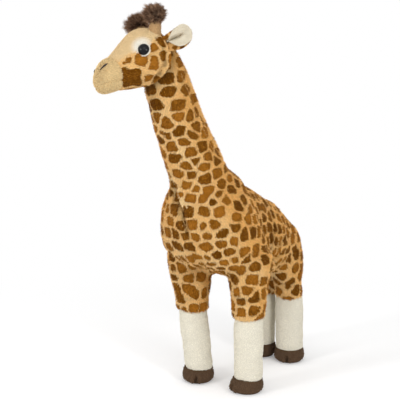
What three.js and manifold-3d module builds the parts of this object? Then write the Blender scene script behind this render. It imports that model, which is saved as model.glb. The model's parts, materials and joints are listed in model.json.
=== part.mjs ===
// A standing plush giraffe: printed plush body, neck and head, a pale face and muzzle, cream lower
// legs, dark hooves, furry horn tufts, a narrow mane and a tail. Each stuffed piece is one solid,
// its skin and filling together, and is cut by the larger piece that it is sewn to.
// It is modelled facing -Y with its left side at +X, standing on z = 0, and the whole group is then
// moved so that the origin is the middle of the bottom of its box. Lengths are millimetres.
import * as THREE from 'three';
import { mergeVertices } from 'three/addons/utils/BufferGeometryUtils.js';
import Module from 'manifold-3d';

// Clearances and cuts
const seamGap = 0.3;
const turningGap = 0.75;
const socketGap = 0.9;
const sewnOverlap = 7;

// Feet
const frontTrack = 98;
const hindTrack = 58;
const wheelbase = 181;
const soleThickness = 3;
const soleInset = 4;
const hoofHeight = 29;
const hoofWidth = 53;
const hoofLength = 54;
const hoofForward = 1.5;
const cleftWidth = 2.4;
const cleftDepth = 6;
const cleftHeight = 17;

// Legs
const sockWidth = 49;
const sockTuck = 14;
const frontHemHeight = 126;
const hindHemHeight = 116;
const frontLegRise = 36;
const frontLegWidth = 74;
const frontLegDepth = 76;
const frontRightLean = 10;
const hindLegRise = 29;
const hindLegWidth = 52;
const hindLegDepth = 80;
const hindLegForward = 14;
const hindLegTuckIn = 6;

// Torso
const shoulderBottom = 212;
const shoulderTop = 371;
const shoulderWidth = 160;
const shoulderDepth = 148;
const shoulderForward = 15;
const shoulderLean = 36;
const chestReach = 39.5;
const rumpReach = 34.5;
const barrelWidth = 128;
const barrelHeight = 152;
const barrelRise = 63;
const barrelFall = 72;

// Neck and mane
const neckForward = 9.5;
const neckSink = 26;
const neckLength = 207;
const neckWidth = 89;
const neckLeanForward = 22;
const neckLeanRight = 8;
const neckTwist = 30;
const neckSwing = 6;
const maneWidth = 12;
const maneHeight = 13;
const maneSink = 4.5;

// Head
const headTurn = 27;
const headNod = 8;
const headTilt = 14;
const headLength = 104;
const headWidth = 74;
const headHeight = 84;
const headBackReach = 20;
const headRise = 22;
const muzzleLength = 32;
const muzzleWidth = 56;
const muzzleHeight = 50;
const muzzleOverlap = 12;
const muzzleDrop = 16;
const mouthDrop = 13;
const faceThickness = 1.8;
const faceWidth = 66;
const faceFront = 4;
const faceBack = 100;

// Eyes
const eyeRadius = 8.8;
const eyeBulge = 6.5;
const eyeSink = 1.6;
const eyeStemRadius = 2.6;
const eyeStemLength = 13;
const eyeWasherRadius = 7;
const eyeWasherThickness = 1.6;

// Nostrils
const nostrilLength = 15;
const nostrilWidth = 3.4;
const nostrilRaise = 1.2;

// Horns
const hornLength = 32;
const hornWidth = 21;
const tuftWidth = 37;
const tuftHeight = 32;
const tuftOverlap = 20;

// Ears
const earLength = 52;
const earWidth = 33;
const earThickness = 4.4;
const liningThickness = 2.6;
const liningInset = 3;
const earFlop = 20;

// Tail
const tailLength = 104;
const tailWidth = 13;
const tailSlant = 9;
const tailSwing = 60;
const tailTuftLength = 46;
const tailTuftWidth = 24;
const tailTuftOverlap = 14;

// Facets round each form
const bodySides = 22;
const neckSides = 28;
const limbSides = 16;
const smallSides = 12;

// Colours, as seen in daylight
const plushGold = 0xd9ab68;
const faceCream = 0xeed9b2;
const muzzleBeige = 0xe2c594;
const sockCream = 0xe8e2cf;
const hoofBrown = 0x4a3b2f;
const tuftBrown = 0x54392a;
const liningWhite = 0xe8e0d0;
const eyeBlack = 0x0b0b0d;
const washerWhite = 0xf2f2f0;
const threadBrown = 0x2c1d12;
const fabricRoughness = 0.95;
const glossRoughness = 0.08;
const washerRoughness = 0.4;

const wasm = await Module();
wasm.setup();

const half = 0.5;
const earSweepSteps = 4;
const tailSweepSteps = 2;
const bodyLeft = new THREE.Vector3(1, 0, 0);
const bodyAhead = new THREE.Vector3(0, -1, 0);
const bodyUp = new THREE.Vector3(0, 0, 1);
const radians = THREE.MathUtils.degToRad;

// Turns a closed three.js geometry into a solid that can be cut.
function solidOf(geometry, matrix = new THREE.Matrix4()) {
  const bare = geometry.clone().applyMatrix4(matrix);
  bare.deleteAttribute('normal');
  bare.deleteAttribute('uv');
  const merged = mergeVertices(bare);
  return new wasm.Manifold(new wasm.Mesh({
    numProp: 3,
    vertProperties: new Float32Array(merged.attributes.position.array),
    triVerts: new Uint32Array(merged.index.array),
  }));
}

// A form is a stuffed shape along a straight line from one point to another. Each of its stations
// is [along, shift, wide, deep], as shares of its length, depth, width and depth.
function ringAt(form, [along, shift, wide, deep], grow) {
  const centre = form.from.clone().lerp(form.to, along);
  centre.addScaledVector(form.fore, shift * form.depth);
  return { centre, wide: wide * form.width * half + grow, deep: deep * form.depth * half + grow };
}

// The point of a ring's outline at an angle, counted from its width axis towards its fore axis.
function outlinePoint(form, ring, angle) {
  const power = 2 / (form.squareness ?? 2);
  const bend = (value) => Math.sign(value) * Math.abs(value) ** power;
  const point = ring.centre.clone();
  point.addScaledVector(form.across, bend(Math.cos(angle)) * ring.wide);
  return point.addScaledVector(form.fore, bend(Math.sin(angle)) * ring.deep);
}

// A form as a solid: a skin through its rings with a flat fan over each end. A grown form is the
// same form made larger by a clearance all round.
function formSolid(form, grow = 0) {
  const direction = form.to.clone().sub(form.from).normalize();
  const rings = form.stationShares.map((shares) => ringAt(form, shares, grow));
  rings[0].centre.addScaledVector(direction, -grow);
  rings.at(-1).centre.addScaledVector(direction, grow);
  const points = [];
  for (const ring of rings) {
    for (let side = 0; side < form.sides; side += 1) {
      points.push(...outlinePoint(form, ring, (side / form.sides) * Math.PI * 2));
    }
  }
  points.push(...rings[0].centre, ...rings.at(-1).centre);
  const firstHub = rings.length * form.sides;
  const lastHub = firstHub + 1;
  const lastRing = firstHub - form.sides;
  const faces = [];
  for (let side = 0; side < form.sides; side += 1) {
    const next = (side + 1) % form.sides;
    for (let low = 0; low < lastRing; low += form.sides) {
      const high = low + form.sides;
      faces.push(low + side, low + next, high + next, low + side, high + next, high + side);
    }
    faces.push(firstHub, next, side, lastHub, lastRing + side, lastRing + next);
  }
  if (form.across.clone().cross(form.fore).dot(direction) < 0) faces.reverse();
  const geometry = new THREE.BufferGeometry();
  geometry.setAttribute('position', new THREE.Float32BufferAttribute(points, 3));
  geometry.setIndex(faces);
  return solidOf(geometry);
}

// The place and outward direction of a form's skin, at a share along it and an angle round it.
function skinAt(form, along, degrees) {
  const stations = form.stationShares;
  const at = (share, angle) => {
    const next = Math.max(1, stations.findIndex((station) => station[0] >= share));
    const [before, after] = [stations[next - 1], stations[next]];
    const mix = (share - before[0]) / (after[0] - before[0]);
    const shares = before.map((value, index) => value + (after[index] - value) * mix);
    return outlinePoint(form, ringAt(form, shares, 0), radians(angle));
  };
  const nudgeShare = 0.02;
  const nudgeDegrees = 3;
  const lengthwise = at(along + nudgeShare, degrees).sub(at(along - nudgeShare, degrees));
  const round = at(along, degrees + nudgeDegrees).sub(at(along, degrees - nudgeDegrees));
  const point = at(along, degrees);
  const normal = round.cross(lengthwise).normalize();
  const middle = form.from.clone().lerp(form.to, along);
  if (normal.dot(point.clone().sub(middle)) < 0) normal.negate();
  return { point, normal };
}

// A matrix that sets local X, Y and Z along three directions at a point.
function frameAt(point, x, y, z) {
  return new THREE.Matrix4().makeBasis(x, y, z).setPosition(point);
}

// Copies of a solid turned about a line through a point, joined into the space that it sweeps.
function sweptSolid(solid, pivot, axis, fromDegrees, toDegrees, steps) {
  let swept = solid;
  for (let step = 0; step <= steps; step += 1) {
    const degrees = fromDegrees + ((toDegrees - fromDegrees) * step) / steps;
    const turn = new THREE.Matrix4().makeTranslation(pivot);
    turn.multiply(new THREE.Matrix4().makeRotationAxis(axis, radians(degrees)));
    turn.multiply(new THREE.Matrix4().makeTranslation(pivot.clone().negate()));
    swept = swept.add(solid.transform(turn.elements));
  }
  return swept;
}

// Only the largest body of a solid, without the slivers that a cut may leave.
function largestBody(solid) {
  return solid.decompose().reduce((kept, body) => (body.volume() > kept.volume() ? body : kept));
}

const giraffe = new THREE.Group();
const neckGroup = new THREE.Group();
const headGroup = new THREE.Group();
const tailGroup = new THREE.Group();
giraffe.add(neckGroup, tailGroup);
neckGroup.add(headGroup);

// Adds a solid, given in the giraffe's frame, to a group as a named mesh in the group's own frame.
function addPiece(group, name, solid, color, roughness = fabricRoughness) {
  const local = largestBody(solid).transform(group.matrixWorld.clone().invert().elements);
  const { vertProperties, triVerts } = local.getMesh();
  const geometry = new THREE.BufferGeometry();
  geometry.setAttribute('position', new THREE.BufferAttribute(vertProperties, 3));
  geometry.setIndex(new THREE.BufferAttribute(triVerts, 1));
  geometry.computeVertexNormals();
  const mesh = new THREE.Mesh(
    geometry, new THREE.MeshStandardMaterial({ color, roughness, metalness: 0 }));
  mesh.name = name;
  group.add(mesh);
}

// Rounded ends for small stuffed pieces
const pillShares = [
  [0, 0, 0.3, 0.3],
  [0.1, 0, 0.68, 0.68],
  [0.3, 0, 0.95, 0.95],
  [0.55, 0, 1, 1],
  [0.8, 0, 0.84, 0.84],
  [0.95, 0, 0.5, 0.5],
  [1, 0, 0.25, 0.25],
];

// Stations of the half ball below a form's first point, so that the form can turn about that point
const ballAngles = [-84, -70, -56, -42, -28, -14];

function ballShares(width, length) {
  return ballAngles.map((degrees) => {
    const wide = Math.cos(radians(degrees));
    return [(Math.sin(radians(degrees)) * width * half) / length, 0, wide, wide];
  });
}

// Torso: a broad shoulder block joined to a barrel that falls away to the rump
const shoulderFoot = new THREE.Vector3(0, -wheelbase * half - shoulderForward, shoulderBottom);
const shoulders = {
  from: shoulderFoot,
  to: shoulderFoot.clone().setZ(shoulderTop).addScaledVector(bodyAhead, shoulderLean),
  across: bodyLeft,
  fore: bodyAhead,
  width: shoulderWidth,
  depth: shoulderDepth,
  sides: bodySides,
  squareness: 2.3,
  stationShares: [
    [0, 0, 0.66, 0.5],
    [0.06, 0, 0.86, 0.72],
    [0.16, 0.01, 0.96, 0.88],
    [0.3, 0.02, 1, 0.97],
    [0.46, 0.03, 0.98, 1],
    [0.61, 0.03, 0.9, 0.97],
    [0.76, 0.02, 0.75, 0.87],
    [0.89, 0.01, 0.58, 0.7],
    [1, 0, 0.42, 0.5],
  ],
};
const chest = new THREE.Vector3(0, -wheelbase * half - chestReach, shoulderBottom + barrelRise);
const rump = new THREE.Vector3(0, wheelbase * half + rumpReach, chest.z - barrelFall);
const barrel = {
  from: chest,
  to: rump,
  across: bodyLeft,
  fore: bodyUp,
  width: barrelWidth,
  depth: barrelHeight,
  sides: bodySides,
  squareness: 2.2,
  stationShares: [
    [0, 0, 0.7, 0.7],
    [0.14, 0.02, 0.96, 0.98],
    [0.32, 0.03, 1, 1],
    [0.5, 0.02, 0.94, 0.9],
    [0.68, 0.01, 0.84, 0.79],
    [0.84, 0, 0.74, 0.66],
    [0.94, 0, 0.58, 0.5],
    [1, 0, 0.34, 0.28],
  ],
};

// Neck: a ball-shaped root in a socket between the shoulders, then a taper up to the head
const neckPivot = shoulders.to.clone().addScaledVector(bodyAhead, neckForward);
neckPivot.addScaledVector(bodyUp, -neckSink);
const neckUp = bodyUp.clone().applyEuler(
  new THREE.Euler(radians(neckLeanForward), radians(-neckLeanRight), 0));
const neckAhead = bodyLeft.clone().cross(neckUp).normalize();
const neckLeft = neckUp.clone().cross(neckAhead);
const neck = {
  from: neckPivot,
  to: neckPivot.clone().addScaledVector(neckUp, neckLength),
  across: neckLeft,
  fore: neckAhead,
  width: neckWidth,
  depth: neckWidth,
  sides: neckSides,
  stationShares: [
    ...ballShares(neckWidth, neckLength),
    [0, 0, 1, 1],
    [0.18, 0, 0.99, 0.99],
    [0.44, 0, 0.9, 0.9],
    [0.68, 0, 0.76, 0.76],
    [0.86, 0, 0.67, 0.67],
    [1, 0, 0.62, 0.62],
    [1.1, 0, 0.5, 0.5],
    [1.15, 0, 0.28, 0.28],
  ],
};
const swingShare = (2 * Math.sin(radians(neckSwing)) * neckLength) / neckWidth;
const neckSocket = {
  ...neck,
  stationShares: neck.stationShares.map(([along, shift, wide, deep]) => {
    const swing = Math.max(along, 0) * swingShare;
    return [along, shift, wide + swing, deep + swing];
  }),
};

neckGroup.position.copy(neckPivot);
headGroup.position.copy(neck.to).sub(neckPivot);
headGroup.rotation.set(radians(headNod), radians(-headTilt), radians(-headTurn), 'ZYX');
giraffe.updateMatrixWorld(true);

// Points and directions of the head: left, ahead and above, as the giraffe sees them
function headPoint(left, ahead, above) {
  return new THREE.Vector3(left, -ahead, above).applyMatrix4(headGroup.matrixWorld);
}
function headDirection(left, ahead, above) {
  return new THREE.Vector3(left, -ahead, above).transformDirection(headGroup.matrixWorld);
}
const headLeft = headDirection(1, 0, 0);
const headAhead = headDirection(0, 1, 0);
const headUp = headDirection(0, 0, 1);

const headFront = headLength - headBackReach;
const head = {
  from: headPoint(0, -headBackReach, headRise),
  to: headPoint(0, headFront, headRise),
  across: headLeft,
  fore: headUp,
  width: headWidth,
  depth: headHeight,
  sides: bodySides,
  stationShares: [
    [0, 0.02, 0.4, 0.4],
    [0.06, 0.02, 0.68, 0.68],
    [0.17, 0.01, 0.9, 0.88],
    [0.32, 0, 1, 1],
    [0.48, -0.02, 0.98, 0.95],
    [0.64, -0.08, 0.88, 0.8],
    [0.8, -0.15, 0.76, 0.64],
    [0.92, -0.18, 0.68, 0.55],
    [1, -0.18, 0.5, 0.44],
  ],
};
const muzzle = {
  from: headPoint(0, headFront - muzzleOverlap, headRise - muzzleDrop),
  to: headPoint(0, headFront - muzzleOverlap + muzzleLength, headRise - muzzleDrop),
  across: headLeft,
  fore: headUp,
  width: muzzleWidth,
  depth: muzzleHeight,
  sides: bodySides,
  stationShares: [
    [0, 0, 0.93, 0.96],
    [0.16, 0, 0.98, 1],
    [0.4, -0.02, 1, 0.99],
    [0.64, -0.04, 0.96, 0.9],
    [0.82, -0.07, 0.82, 0.72],
    [0.94, -0.09, 0.56, 0.46],
    [1, -0.1, 0.26, 0.2],
  ],
};

// Pale face panel: a patch over the brow, widest between the eyes
const faceOutlineShares = [
  [0.3, 0],
  [0.36, 0.2],
  [0.47, 0.46],
  [0.5, 0.62],
  [0.42, 0.88],
  [0.24, 1],
];

function facePrism() {
  const length = faceBack - faceFront;
  const right = faceOutlineShares.map(([left, along]) => [-left, along]).reverse();
  const corners = [...faceOutlineShares, ...right].map(([left, along]) => new THREE.Vector2(
    left * faceWidth, along * length - (headFront - faceFront)));
  const prism = new THREE.ExtrudeGeometry(
    new THREE.Shape(corners), { depth: headHeight, bevelEnabled: false });
  prism.translate(0, 0, headRise);
  return solidOf(prism, headGroup.matrixWorld);
}

// Eyes: a glossy dome with a stem through the skin and a washer that locks it inside
const eyeAlongShare = 0.53;
const eyeAngle = 15;
const eyeForwardTurn = 22;

function eyeFrame(side) {
  const skin = skinAt(head, eyeAlongShare, side > 0 ? eyeAngle : 180 - eyeAngle);
  const out = skin.normal.applyAxisAngle(headUp, radians(eyeForwardTurn) * -side);
  const level = headUp.clone().cross(out).normalize();
  const below = level.clone().cross(out);
  return frameAt(skin.point.addScaledVector(out, -eyeSink), level, out, below);
}

function domeSolid(matrix, grow) {
  const steps = 4;
  const outline = [new THREE.Vector2(0, -grow), new THREE.Vector2(eyeRadius + grow, -grow)];
  for (let step = 1; step < steps; step += 1) {
    const angle = (step / steps) * Math.PI * half;
    outline.push(new THREE.Vector2(
      (eyeRadius + grow) * Math.cos(angle), (eyeSink + eyeBulge + grow) * Math.sin(angle)));
  }
  outline.push(new THREE.Vector2(0, eyeSink + eyeBulge + grow));
  return solidOf(new THREE.LatheGeometry(outline, smallSides), matrix);
}

// A disc round a frame's Y axis, between two heights along it.
function discSolid(matrix, radius, low, high) {
  const disc = new THREE.CylinderGeometry(radius, radius, high - low, smallSides);
  disc.translate(0, (low + high) * half, 0);
  return solidOf(disc, matrix);
}

function eyeSolid(side) {
  const frame = eyeFrame(side);
  const dome = domeSolid(frame, 0).subtract(formSolid(head, seamGap));
  return dome.add(discSolid(frame, eyeStemRadius, -eyeStemLength, eyeSink + eyeBulge * half));
}

function washerSolid(side) {
  const frame = eyeFrame(side);
  const top = eyeWasherThickness - eyeStemLength;
  const disc = discSolid(frame, eyeWasherRadius, -eyeStemLength, top);
  return disc.subtract(discSolid(frame, eyeStemRadius + seamGap, -eyeStemLength * 2, 0));
}

function eyePocket(side) {
  const frame = eyeFrame(side);
  const bottom = -eyeStemLength - seamGap;
  const top = eyeWasherThickness - eyeStemLength + seamGap;
  const bore = discSolid(frame, eyeStemRadius + seamGap, bottom, eyeSink + eyeBulge);
  return bore.add(discSolid(frame, eyeWasherRadius + seamGap, bottom, top));
}

// Horns: stuffed stems that stand on the face panel, each with a furry tuft over its top
const hornAlongShare = 0.2;
const hornAngle = 58;
const hornSplayShare = 0.42;
const hornBackShare = 0.12;

function hornForm(side) {
  const root = skinAt(head, hornAlongShare, side > 0 ? hornAngle : 180 - hornAngle).point;
  const up = headUp.clone().addScaledVector(headLeft, hornSplayShare * side);
  up.addScaledVector(headAhead, -hornBackShare).normalize();
  const fore = headLeft.clone().cross(up).normalize();
  return {
    from: root.clone().addScaledVector(up, -sewnOverlap),
    to: root.clone().addScaledVector(up, hornLength),
    across: up.clone().cross(fore),
    fore,
    up,
    width: hornWidth,
    depth: hornWidth,
    sides: smallSides,
    stationShares: [
      [0, 0, 1.05, 1.05],
      [0.4, 0, 0.98, 0.98],
      [0.75, 0, 0.9, 0.9],
      [0.94, 0, 0.72, 0.72],
      [1, 0, 0.4, 0.4],
    ],
  };
}

function tuftForm(horn) {
  const from = horn.to.clone().addScaledVector(horn.up, -tuftOverlap);
  return {
    ...horn,
    from,
    to: from.clone().addScaledVector(horn.up, tuftHeight),
    width: tuftWidth,
    depth: tuftWidth,
    stationShares: pillShares,
  };
}

// Ears: a leaf of the printed plush with a pale lining on its front
const earAlongShare = 0.1;
const earAngle = 24;
const earBackShare = 0.55;
const earRiseShare = 0.1;
const earTwist = 12;

function earForms(side) {
  const { point } = skinAt(head, earAlongShare, side > 0 ? earAngle : 180 - earAngle);
  const out = headLeft.clone().multiplyScalar(side).addScaledVector(headAhead, -earBackShare);
  out.addScaledVector(headUp, earRiseShare).normalize();
  const front = headAhead.clone().projectOnPlane(out).normalize();
  front.applyAxisAngle(out, radians(earTwist) * side);
  const wide = out.clone().cross(front).normalize();
  const outer = {
    from: point.clone().addScaledVector(out, -sewnOverlap),
    to: point.clone().addScaledVector(out, earLength),
    across: wide,
    fore: front,
    width: earWidth,
    depth: earThickness,
    sides: smallSides,
    stationShares: [
      [0, 0, 0.36, 1],
      [0.14, 0, 0.5, 1.1],
      [0.3, 0, 0.82, 1],
      [0.5, 0, 1, 1],
      [0.7, 0, 0.96, 1],
      [0.86, 0, 0.72, 0.9],
      [0.96, 0, 0.4, 0.7],
      [1, 0, 0.16, 0.4],
    ],
  };
  const skin = point.clone().addScaledVector(front, earThickness * half);
  const lining = {
    ...outer,
    from: skin.clone().addScaledVector(out, liningInset),
    to: skin.clone().addScaledVector(out, earLength - liningInset),
    width: earWidth - 2 * liningInset,
    depth: liningThickness * 2,
  };
  return { outer, lining, pivot: point, axis: wide, place: frameAt(point, wide, out, front) };
}

// Tail: a thin stuffed tube with a ball-shaped root in the rump and a furry tuft at its end
const tailPivot = rump.clone().addScaledVector(bodyUp, tailWidth);
const tailDown = bodyUp.clone().negate().applyAxisAngle(bodyLeft, radians(tailSlant));
const tail = {
  from: tailPivot,
  to: tailPivot.clone().addScaledVector(tailDown, tailLength),
  across: bodyLeft,
  fore: bodyLeft.clone().cross(tailDown),
  width: tailWidth,
  depth: tailWidth,
  sides: smallSides,
  stationShares: [
    ...ballShares(tailWidth, tailLength),
    [0, 0, 1, 1],
    [0.5, 0, 0.9, 0.9],
    [0.95, 0, 0.8, 0.8],
    [1, 0, 0.5, 0.5],
  ],
};
const tailTuftTop = tail.to.clone().addScaledVector(tailDown, -tailTuftOverlap);
const tailTuft = {
  ...tail,
  from: tailTuftTop,
  to: tailTuftTop.clone().addScaledVector(tailDown, tailTuftLength),
  width: tailTuftWidth,
  depth: tailTuftWidth,
  stationShares: pillShares,
};

// Mane: a narrow ridge of the same plush along the back of the neck
const maneFromShare = 0.1;
const maneToShare = 1.02;
const backOfNeck = 270 + neckTwist;
const maneOut = neckAhead.clone().negate().applyAxisAngle(neckUp, radians(-neckTwist));
const maneLift = maneHeight * half - maneSink;
const mane = {
  from: skinAt(neck, maneFromShare, backOfNeck).point.addScaledVector(maneOut, maneLift),
  to: skinAt(neck, maneToShare, backOfNeck).point.addScaledVector(maneOut, maneLift),
  across: neckUp.clone().cross(maneOut),
  fore: maneOut,
  width: maneWidth,
  depth: maneHeight,
  sides: smallSides,
  stationShares: [
    [0, -0.1, 0.3, 0.4],
    [0.04, -0.06, 0.8, 0.85],
    [0.12, 0, 1, 1],
    [0.34, 0.04, 1, 1],
    [0.62, 0.04, 0.95, 1],
    [0.92, 0.1, 0.9, 0.95],
    [1, 0, 0.4, 0.5],
  ],
};

// Legs, from the floor up: a flat sole, a hoof with a cleft toe, a cream sock and a printed leg
const legs = [
  { name: 'front_left', side: 1, place: -1, toeTurn: -28, lean: 0 },
  { name: 'front_right', side: -1, place: -1, toeTurn: 28, lean: -frontRightLean },
  { name: 'rear_left', side: 1, place: 1, toeTurn: 20, lean: 0 },
  { name: 'rear_right', side: -1, place: 1, toeTurn: -10, lean: 0 },
];

function legForms(leg) {
  const front = leg.place < 0;
  const track = front ? frontTrack : hindTrack;
  const foot = new THREE.Vector3(leg.side * track * half, leg.place * wheelbase * half, 0);
  const ahead = bodyAhead.clone().applyAxisAngle(bodyUp, radians(leg.toeTurn));
  const across = bodyLeft.clone().applyAxisAngle(bodyUp, radians(leg.toeTurn));
  const at = (height, shift = 0, lean = 0) => foot.clone().setZ(height)
    .addScaledVector(ahead, shift).addScaledVector(bodyLeft, lean);
  const hemHeight = front ? frontHemHeight : hindHemHeight;
  const sockTop = hemHeight + sockTuck;
  const leanAt = (height) => (leg.lean * (height - hoofHeight)) / (hemHeight - hoofHeight);
  const frontTop = at(shoulderBottom + frontLegRise, 0, leg.lean);
  const hindTop = at(rump.z + hindLegRise, 0, -leg.side * hindLegTuckIn);
  hindTop.addScaledVector(bodyAhead, hindLegForward);
  const toeFoot = at(0, hoofForward + hoofLength * half);
  const toeAxes = { across, fore: ahead, sides: limbSides };
  return {
    sole: {
      ...toeAxes,
      from: at(0, hoofForward),
      to: at(soleThickness, hoofForward),
      width: hoofWidth - 2 * soleInset,
      depth: hoofLength - 2 * soleInset,
      stationShares: [[0, 0, 1, 1], [1, 0, 1, 1]],
    },
    hoof: {
      ...toeAxes,
      from: at(soleThickness + seamGap, hoofForward),
      to: at(hoofHeight, hoofForward),
      width: hoofWidth,
      depth: hoofLength,
      squareness: 2.2,
      stationShares: [
        [0, 0, 0.87, 0.88],
        [0.18, 0, 0.97, 0.97],
        [0.42, 0, 1, 1],
        [0.75, -0.02, 0.95, 0.91],
        [1, -0.05, 0.88, 0.82],
      ],
    },
    sock: {
      from: at(hoofHeight + seamGap),
      to: at(sockTop, 0, leanAt(sockTop)),
      across: bodyLeft,
      fore: bodyAhead,
      width: sockWidth,
      depth: sockWidth,
      sides: limbSides,
      stationShares: [
        [0, 0, 1, 1],
        [0.3, 0, 1, 1],
        [0.86, 0, 0.97, 0.97],
        [1, 0, 0.86, 0.86],
      ],
    },
    upper: {
      from: at(hemHeight, 0, leg.lean),
      to: front ? frontTop : hindTop,
      across: bodyLeft,
      fore: bodyAhead,
      width: front ? frontLegWidth : hindLegWidth,
      depth: front ? frontLegDepth : hindLegDepth,
      sides: limbSides,
      stationShares: front ? frontLegShares : hindLegShares,
    },
    cleft: frameAt(toeFoot.setZ(soleThickness + cleftHeight * half), across, ahead, bodyUp),
  };
}

const frontLegShares = [
  [0, 0, 0.69, 0.67],
  [0.04, 0, 0.75, 0.72],
  [0.14, 0, 0.75, 0.72],
  [0.22, 0, 0.78, 0.75],
  [0.4, 0, 0.87, 0.84],
  [0.6, 0, 0.97, 0.95],
  [0.8, 0, 1, 1],
  [0.93, 0, 0.8, 0.8],
  [1, 0, 0.5, 0.5],
];
const hindLegShares = [
  [0, 0, 0.93, 0.59],
  [0.05, 0, 0.99, 0.64],
  [0.2, 0, 0.98, 0.7],
  [0.4, 0, 1, 0.82],
  [0.62, 0, 1, 0.96],
  [0.8, 0, 0.9, 0.94],
  [0.94, 0, 0.62, 0.7],
  [1, 0, 0.36, 0.44],
];

function cleftSolid(matrix) {
  return solidOf(new THREE.BoxGeometry(cleftWidth, cleftDepth * 2, cleftHeight), matrix);
}

function addLegs(torsoCutter) {
  for (const leg of legs) {
    const forms = legForms(leg);
    const sock = formSolid(forms.sock);
    const upper = formSolid(forms.upper).subtract(torsoCutter)
      .subtract(formSolid(forms.sock, seamGap));
    const hoof = formSolid(forms.hoof).subtract(cleftSolid(forms.cleft));
    addPiece(giraffe, `${leg.name}_leg`, upper, plushGold);
    addPiece(giraffe, `${leg.name}_sock`, sock, sockCream);
    addPiece(giraffe, `${leg.name}_hoof`, hoof, hoofBrown);
    addPiece(giraffe, `${leg.name}_sole`, formSolid(forms.sole), hoofBrown);
  }
}

function addTorsoAndTail() {
  addLegs(formSolid(shoulders, seamGap).add(formSolid(barrel, seamGap)));
  tailGroup.position.copy(tailPivot);
  tailGroup.updateMatrixWorld(true);
  const tailPath = sweptSolid(
    formSolid(tail, seamGap), tailPivot, bodyLeft, 0, tailSwing, tailSweepSteps);
  const torso = formSolid(shoulders).add(formSolid(barrel))
    .subtract(formSolid(neckSocket, socketGap)).subtract(tailPath);
  addPiece(giraffe, 'torso', torso, plushGold);
  const tuft = formSolid(tailTuft).subtract(formSolid(tail, seamGap));
  addPiece(tailGroup, 'tail', formSolid(tail), plushGold);
  addPiece(tailGroup, 'tail_tuft', tuft, tuftBrown);
}

function addNeck() {
  addPiece(neckGroup, 'neck', formSolid(neck), plushGold);
  addPiece(neckGroup, 'mane', formSolid(mane).subtract(formSolid(neck, seamGap)), plushGold);
}

// The muzzle is sewn from an upper part and a chin, which meet at the mouth seam
function mouthBox(grow) {
  const tall = muzzleHeight;
  const box = new THREE.BoxGeometry(muzzleWidth * 2, muzzleLength * 2, tall);
  box.translate(0, -headFront, headRise - muzzleDrop - mouthDrop - tall * half + grow);
  return solidOf(box, headGroup.matrixWorld);
}

const nostrilAlongShare = 0.72;
const nostrilAngle = 36;
const nostrilRiseShare = 0.35;
function nostrilSolid(side) {
  const skin = skinAt(muzzle, nostrilAlongShare, side > 0 ? nostrilAngle : 180 - nostrilAngle);
  const slant = headAhead.clone().addScaledVector(headUp, nostrilRiseShare);
  slant.projectOnPlane(skin.normal).normalize();
  const stitch = {
    from: skin.point.clone().addScaledVector(slant, -nostrilLength * half),
    to: skin.point.clone().addScaledVector(slant, nostrilLength * half),
    across: skin.normal.clone().cross(slant),
    fore: skin.normal,
    width: nostrilWidth,
    depth: nostrilRaise * 2,
    sides: smallSides,
    stationShares: pillShares,
  };
  return formSolid(stitch).subtract(formSolid(muzzle, seamGap * half));
}

function addHead() {
  const sides = { left: 1, right: -1 };
  const headCutter = formSolid(head, seamGap);
  const muzzleSolid = formSolid(muzzle).subtract(headCutter);
  let skull = formSolid(head).subtract(formSolid(neck, turningGap));
  let face = formSolid(head, faceThickness).subtract(headCutter).intersect(facePrism())
    .subtract(formSolid(muzzle, seamGap)).subtract(formSolid(neck, turningGap));
  for (const [name, side] of Object.entries(sides)) {
    const horn = hornForm(side);
    const tuft = formSolid(tuftForm(horn)).subtract(formSolid(horn, seamGap));
    const ear = earForms(side);
    const lining = formSolid(ear.lining).subtract(formSolid(ear.outer, seamGap));
    const earGroup = new THREE.Group();
    earGroup.applyMatrix4(headGroup.matrixWorld.clone().invert().multiply(ear.place));
    headGroup.add(earGroup);
    earGroup.updateMatrixWorld(true);
    const earRoom = formSolid(ear.outer, seamGap);
    const earPath = sweptSolid(
      earRoom, ear.pivot, ear.axis, -earFlop, earFlop, earSweepSteps);
    skull = skull.subtract(earPath).subtract(eyePocket(side));
    face = face.subtract(formSolid(horn, seamGap)).subtract(domeSolid(eyeFrame(side), seamGap))
      .subtract(earPath);
    addPiece(headGroup, `eye_${name}`, eyeSolid(side), eyeBlack, glossRoughness);
    addPiece(headGroup, `eye_washer_${name}`, washerSolid(side), washerWhite, washerRoughness);
    addPiece(headGroup, `nostril_${name}`, nostrilSolid(side), threadBrown);
    addPiece(headGroup, `horn_${name}`, formSolid(horn).subtract(headCutter), plushGold);
    addPiece(headGroup, `horn_tuft_${name}`, tuft, tuftBrown);
    addPiece(earGroup, `ear_${name}`, formSolid(ear.outer), plushGold);
    addPiece(earGroup, `ear_lining_${name}`, lining, liningWhite);
  }
  addPiece(headGroup, 'head', skull, plushGold);
  addPiece(headGroup, 'face_panel', face, faceCream);
  addPiece(headGroup, 'muzzle', muzzleSolid.subtract(mouthBox(seamGap)), muzzleBeige);
  addPiece(headGroup, 'chin', muzzleSolid.intersect(mouthBox(0)), muzzleBeige);
}

addTorsoAndTail();
addNeck();
addHead();

// The origin goes to the middle of the bottom of the giraffe's box.
const box = new THREE.Box3().setFromObject(giraffe, true);
const bottom = box.getCenter(new THREE.Vector3()).setZ(box.min.z);
giraffe.position.sub(bottom);
giraffe.updateMatrixWorld(true);

export default giraffe;
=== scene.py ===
"""The looks of a standing plush giraffe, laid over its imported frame.

Every stuffed piece is a closed skin that is rounded as its filling rounds it, creased at its seams,
and covered with pile. The toy faces -Y, with its left side at +X and up at +Z. Lengths are metres.
"""

import json
import math
from collections import namedtuple

import bmesh
import bpy
import numpy as np
from bpy.props import FloatProperty, FloatVectorProperty, PointerProperty
from mathutils import Euler, Matrix, Vector
from mathutils.bvhtree import BVHTree


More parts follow.
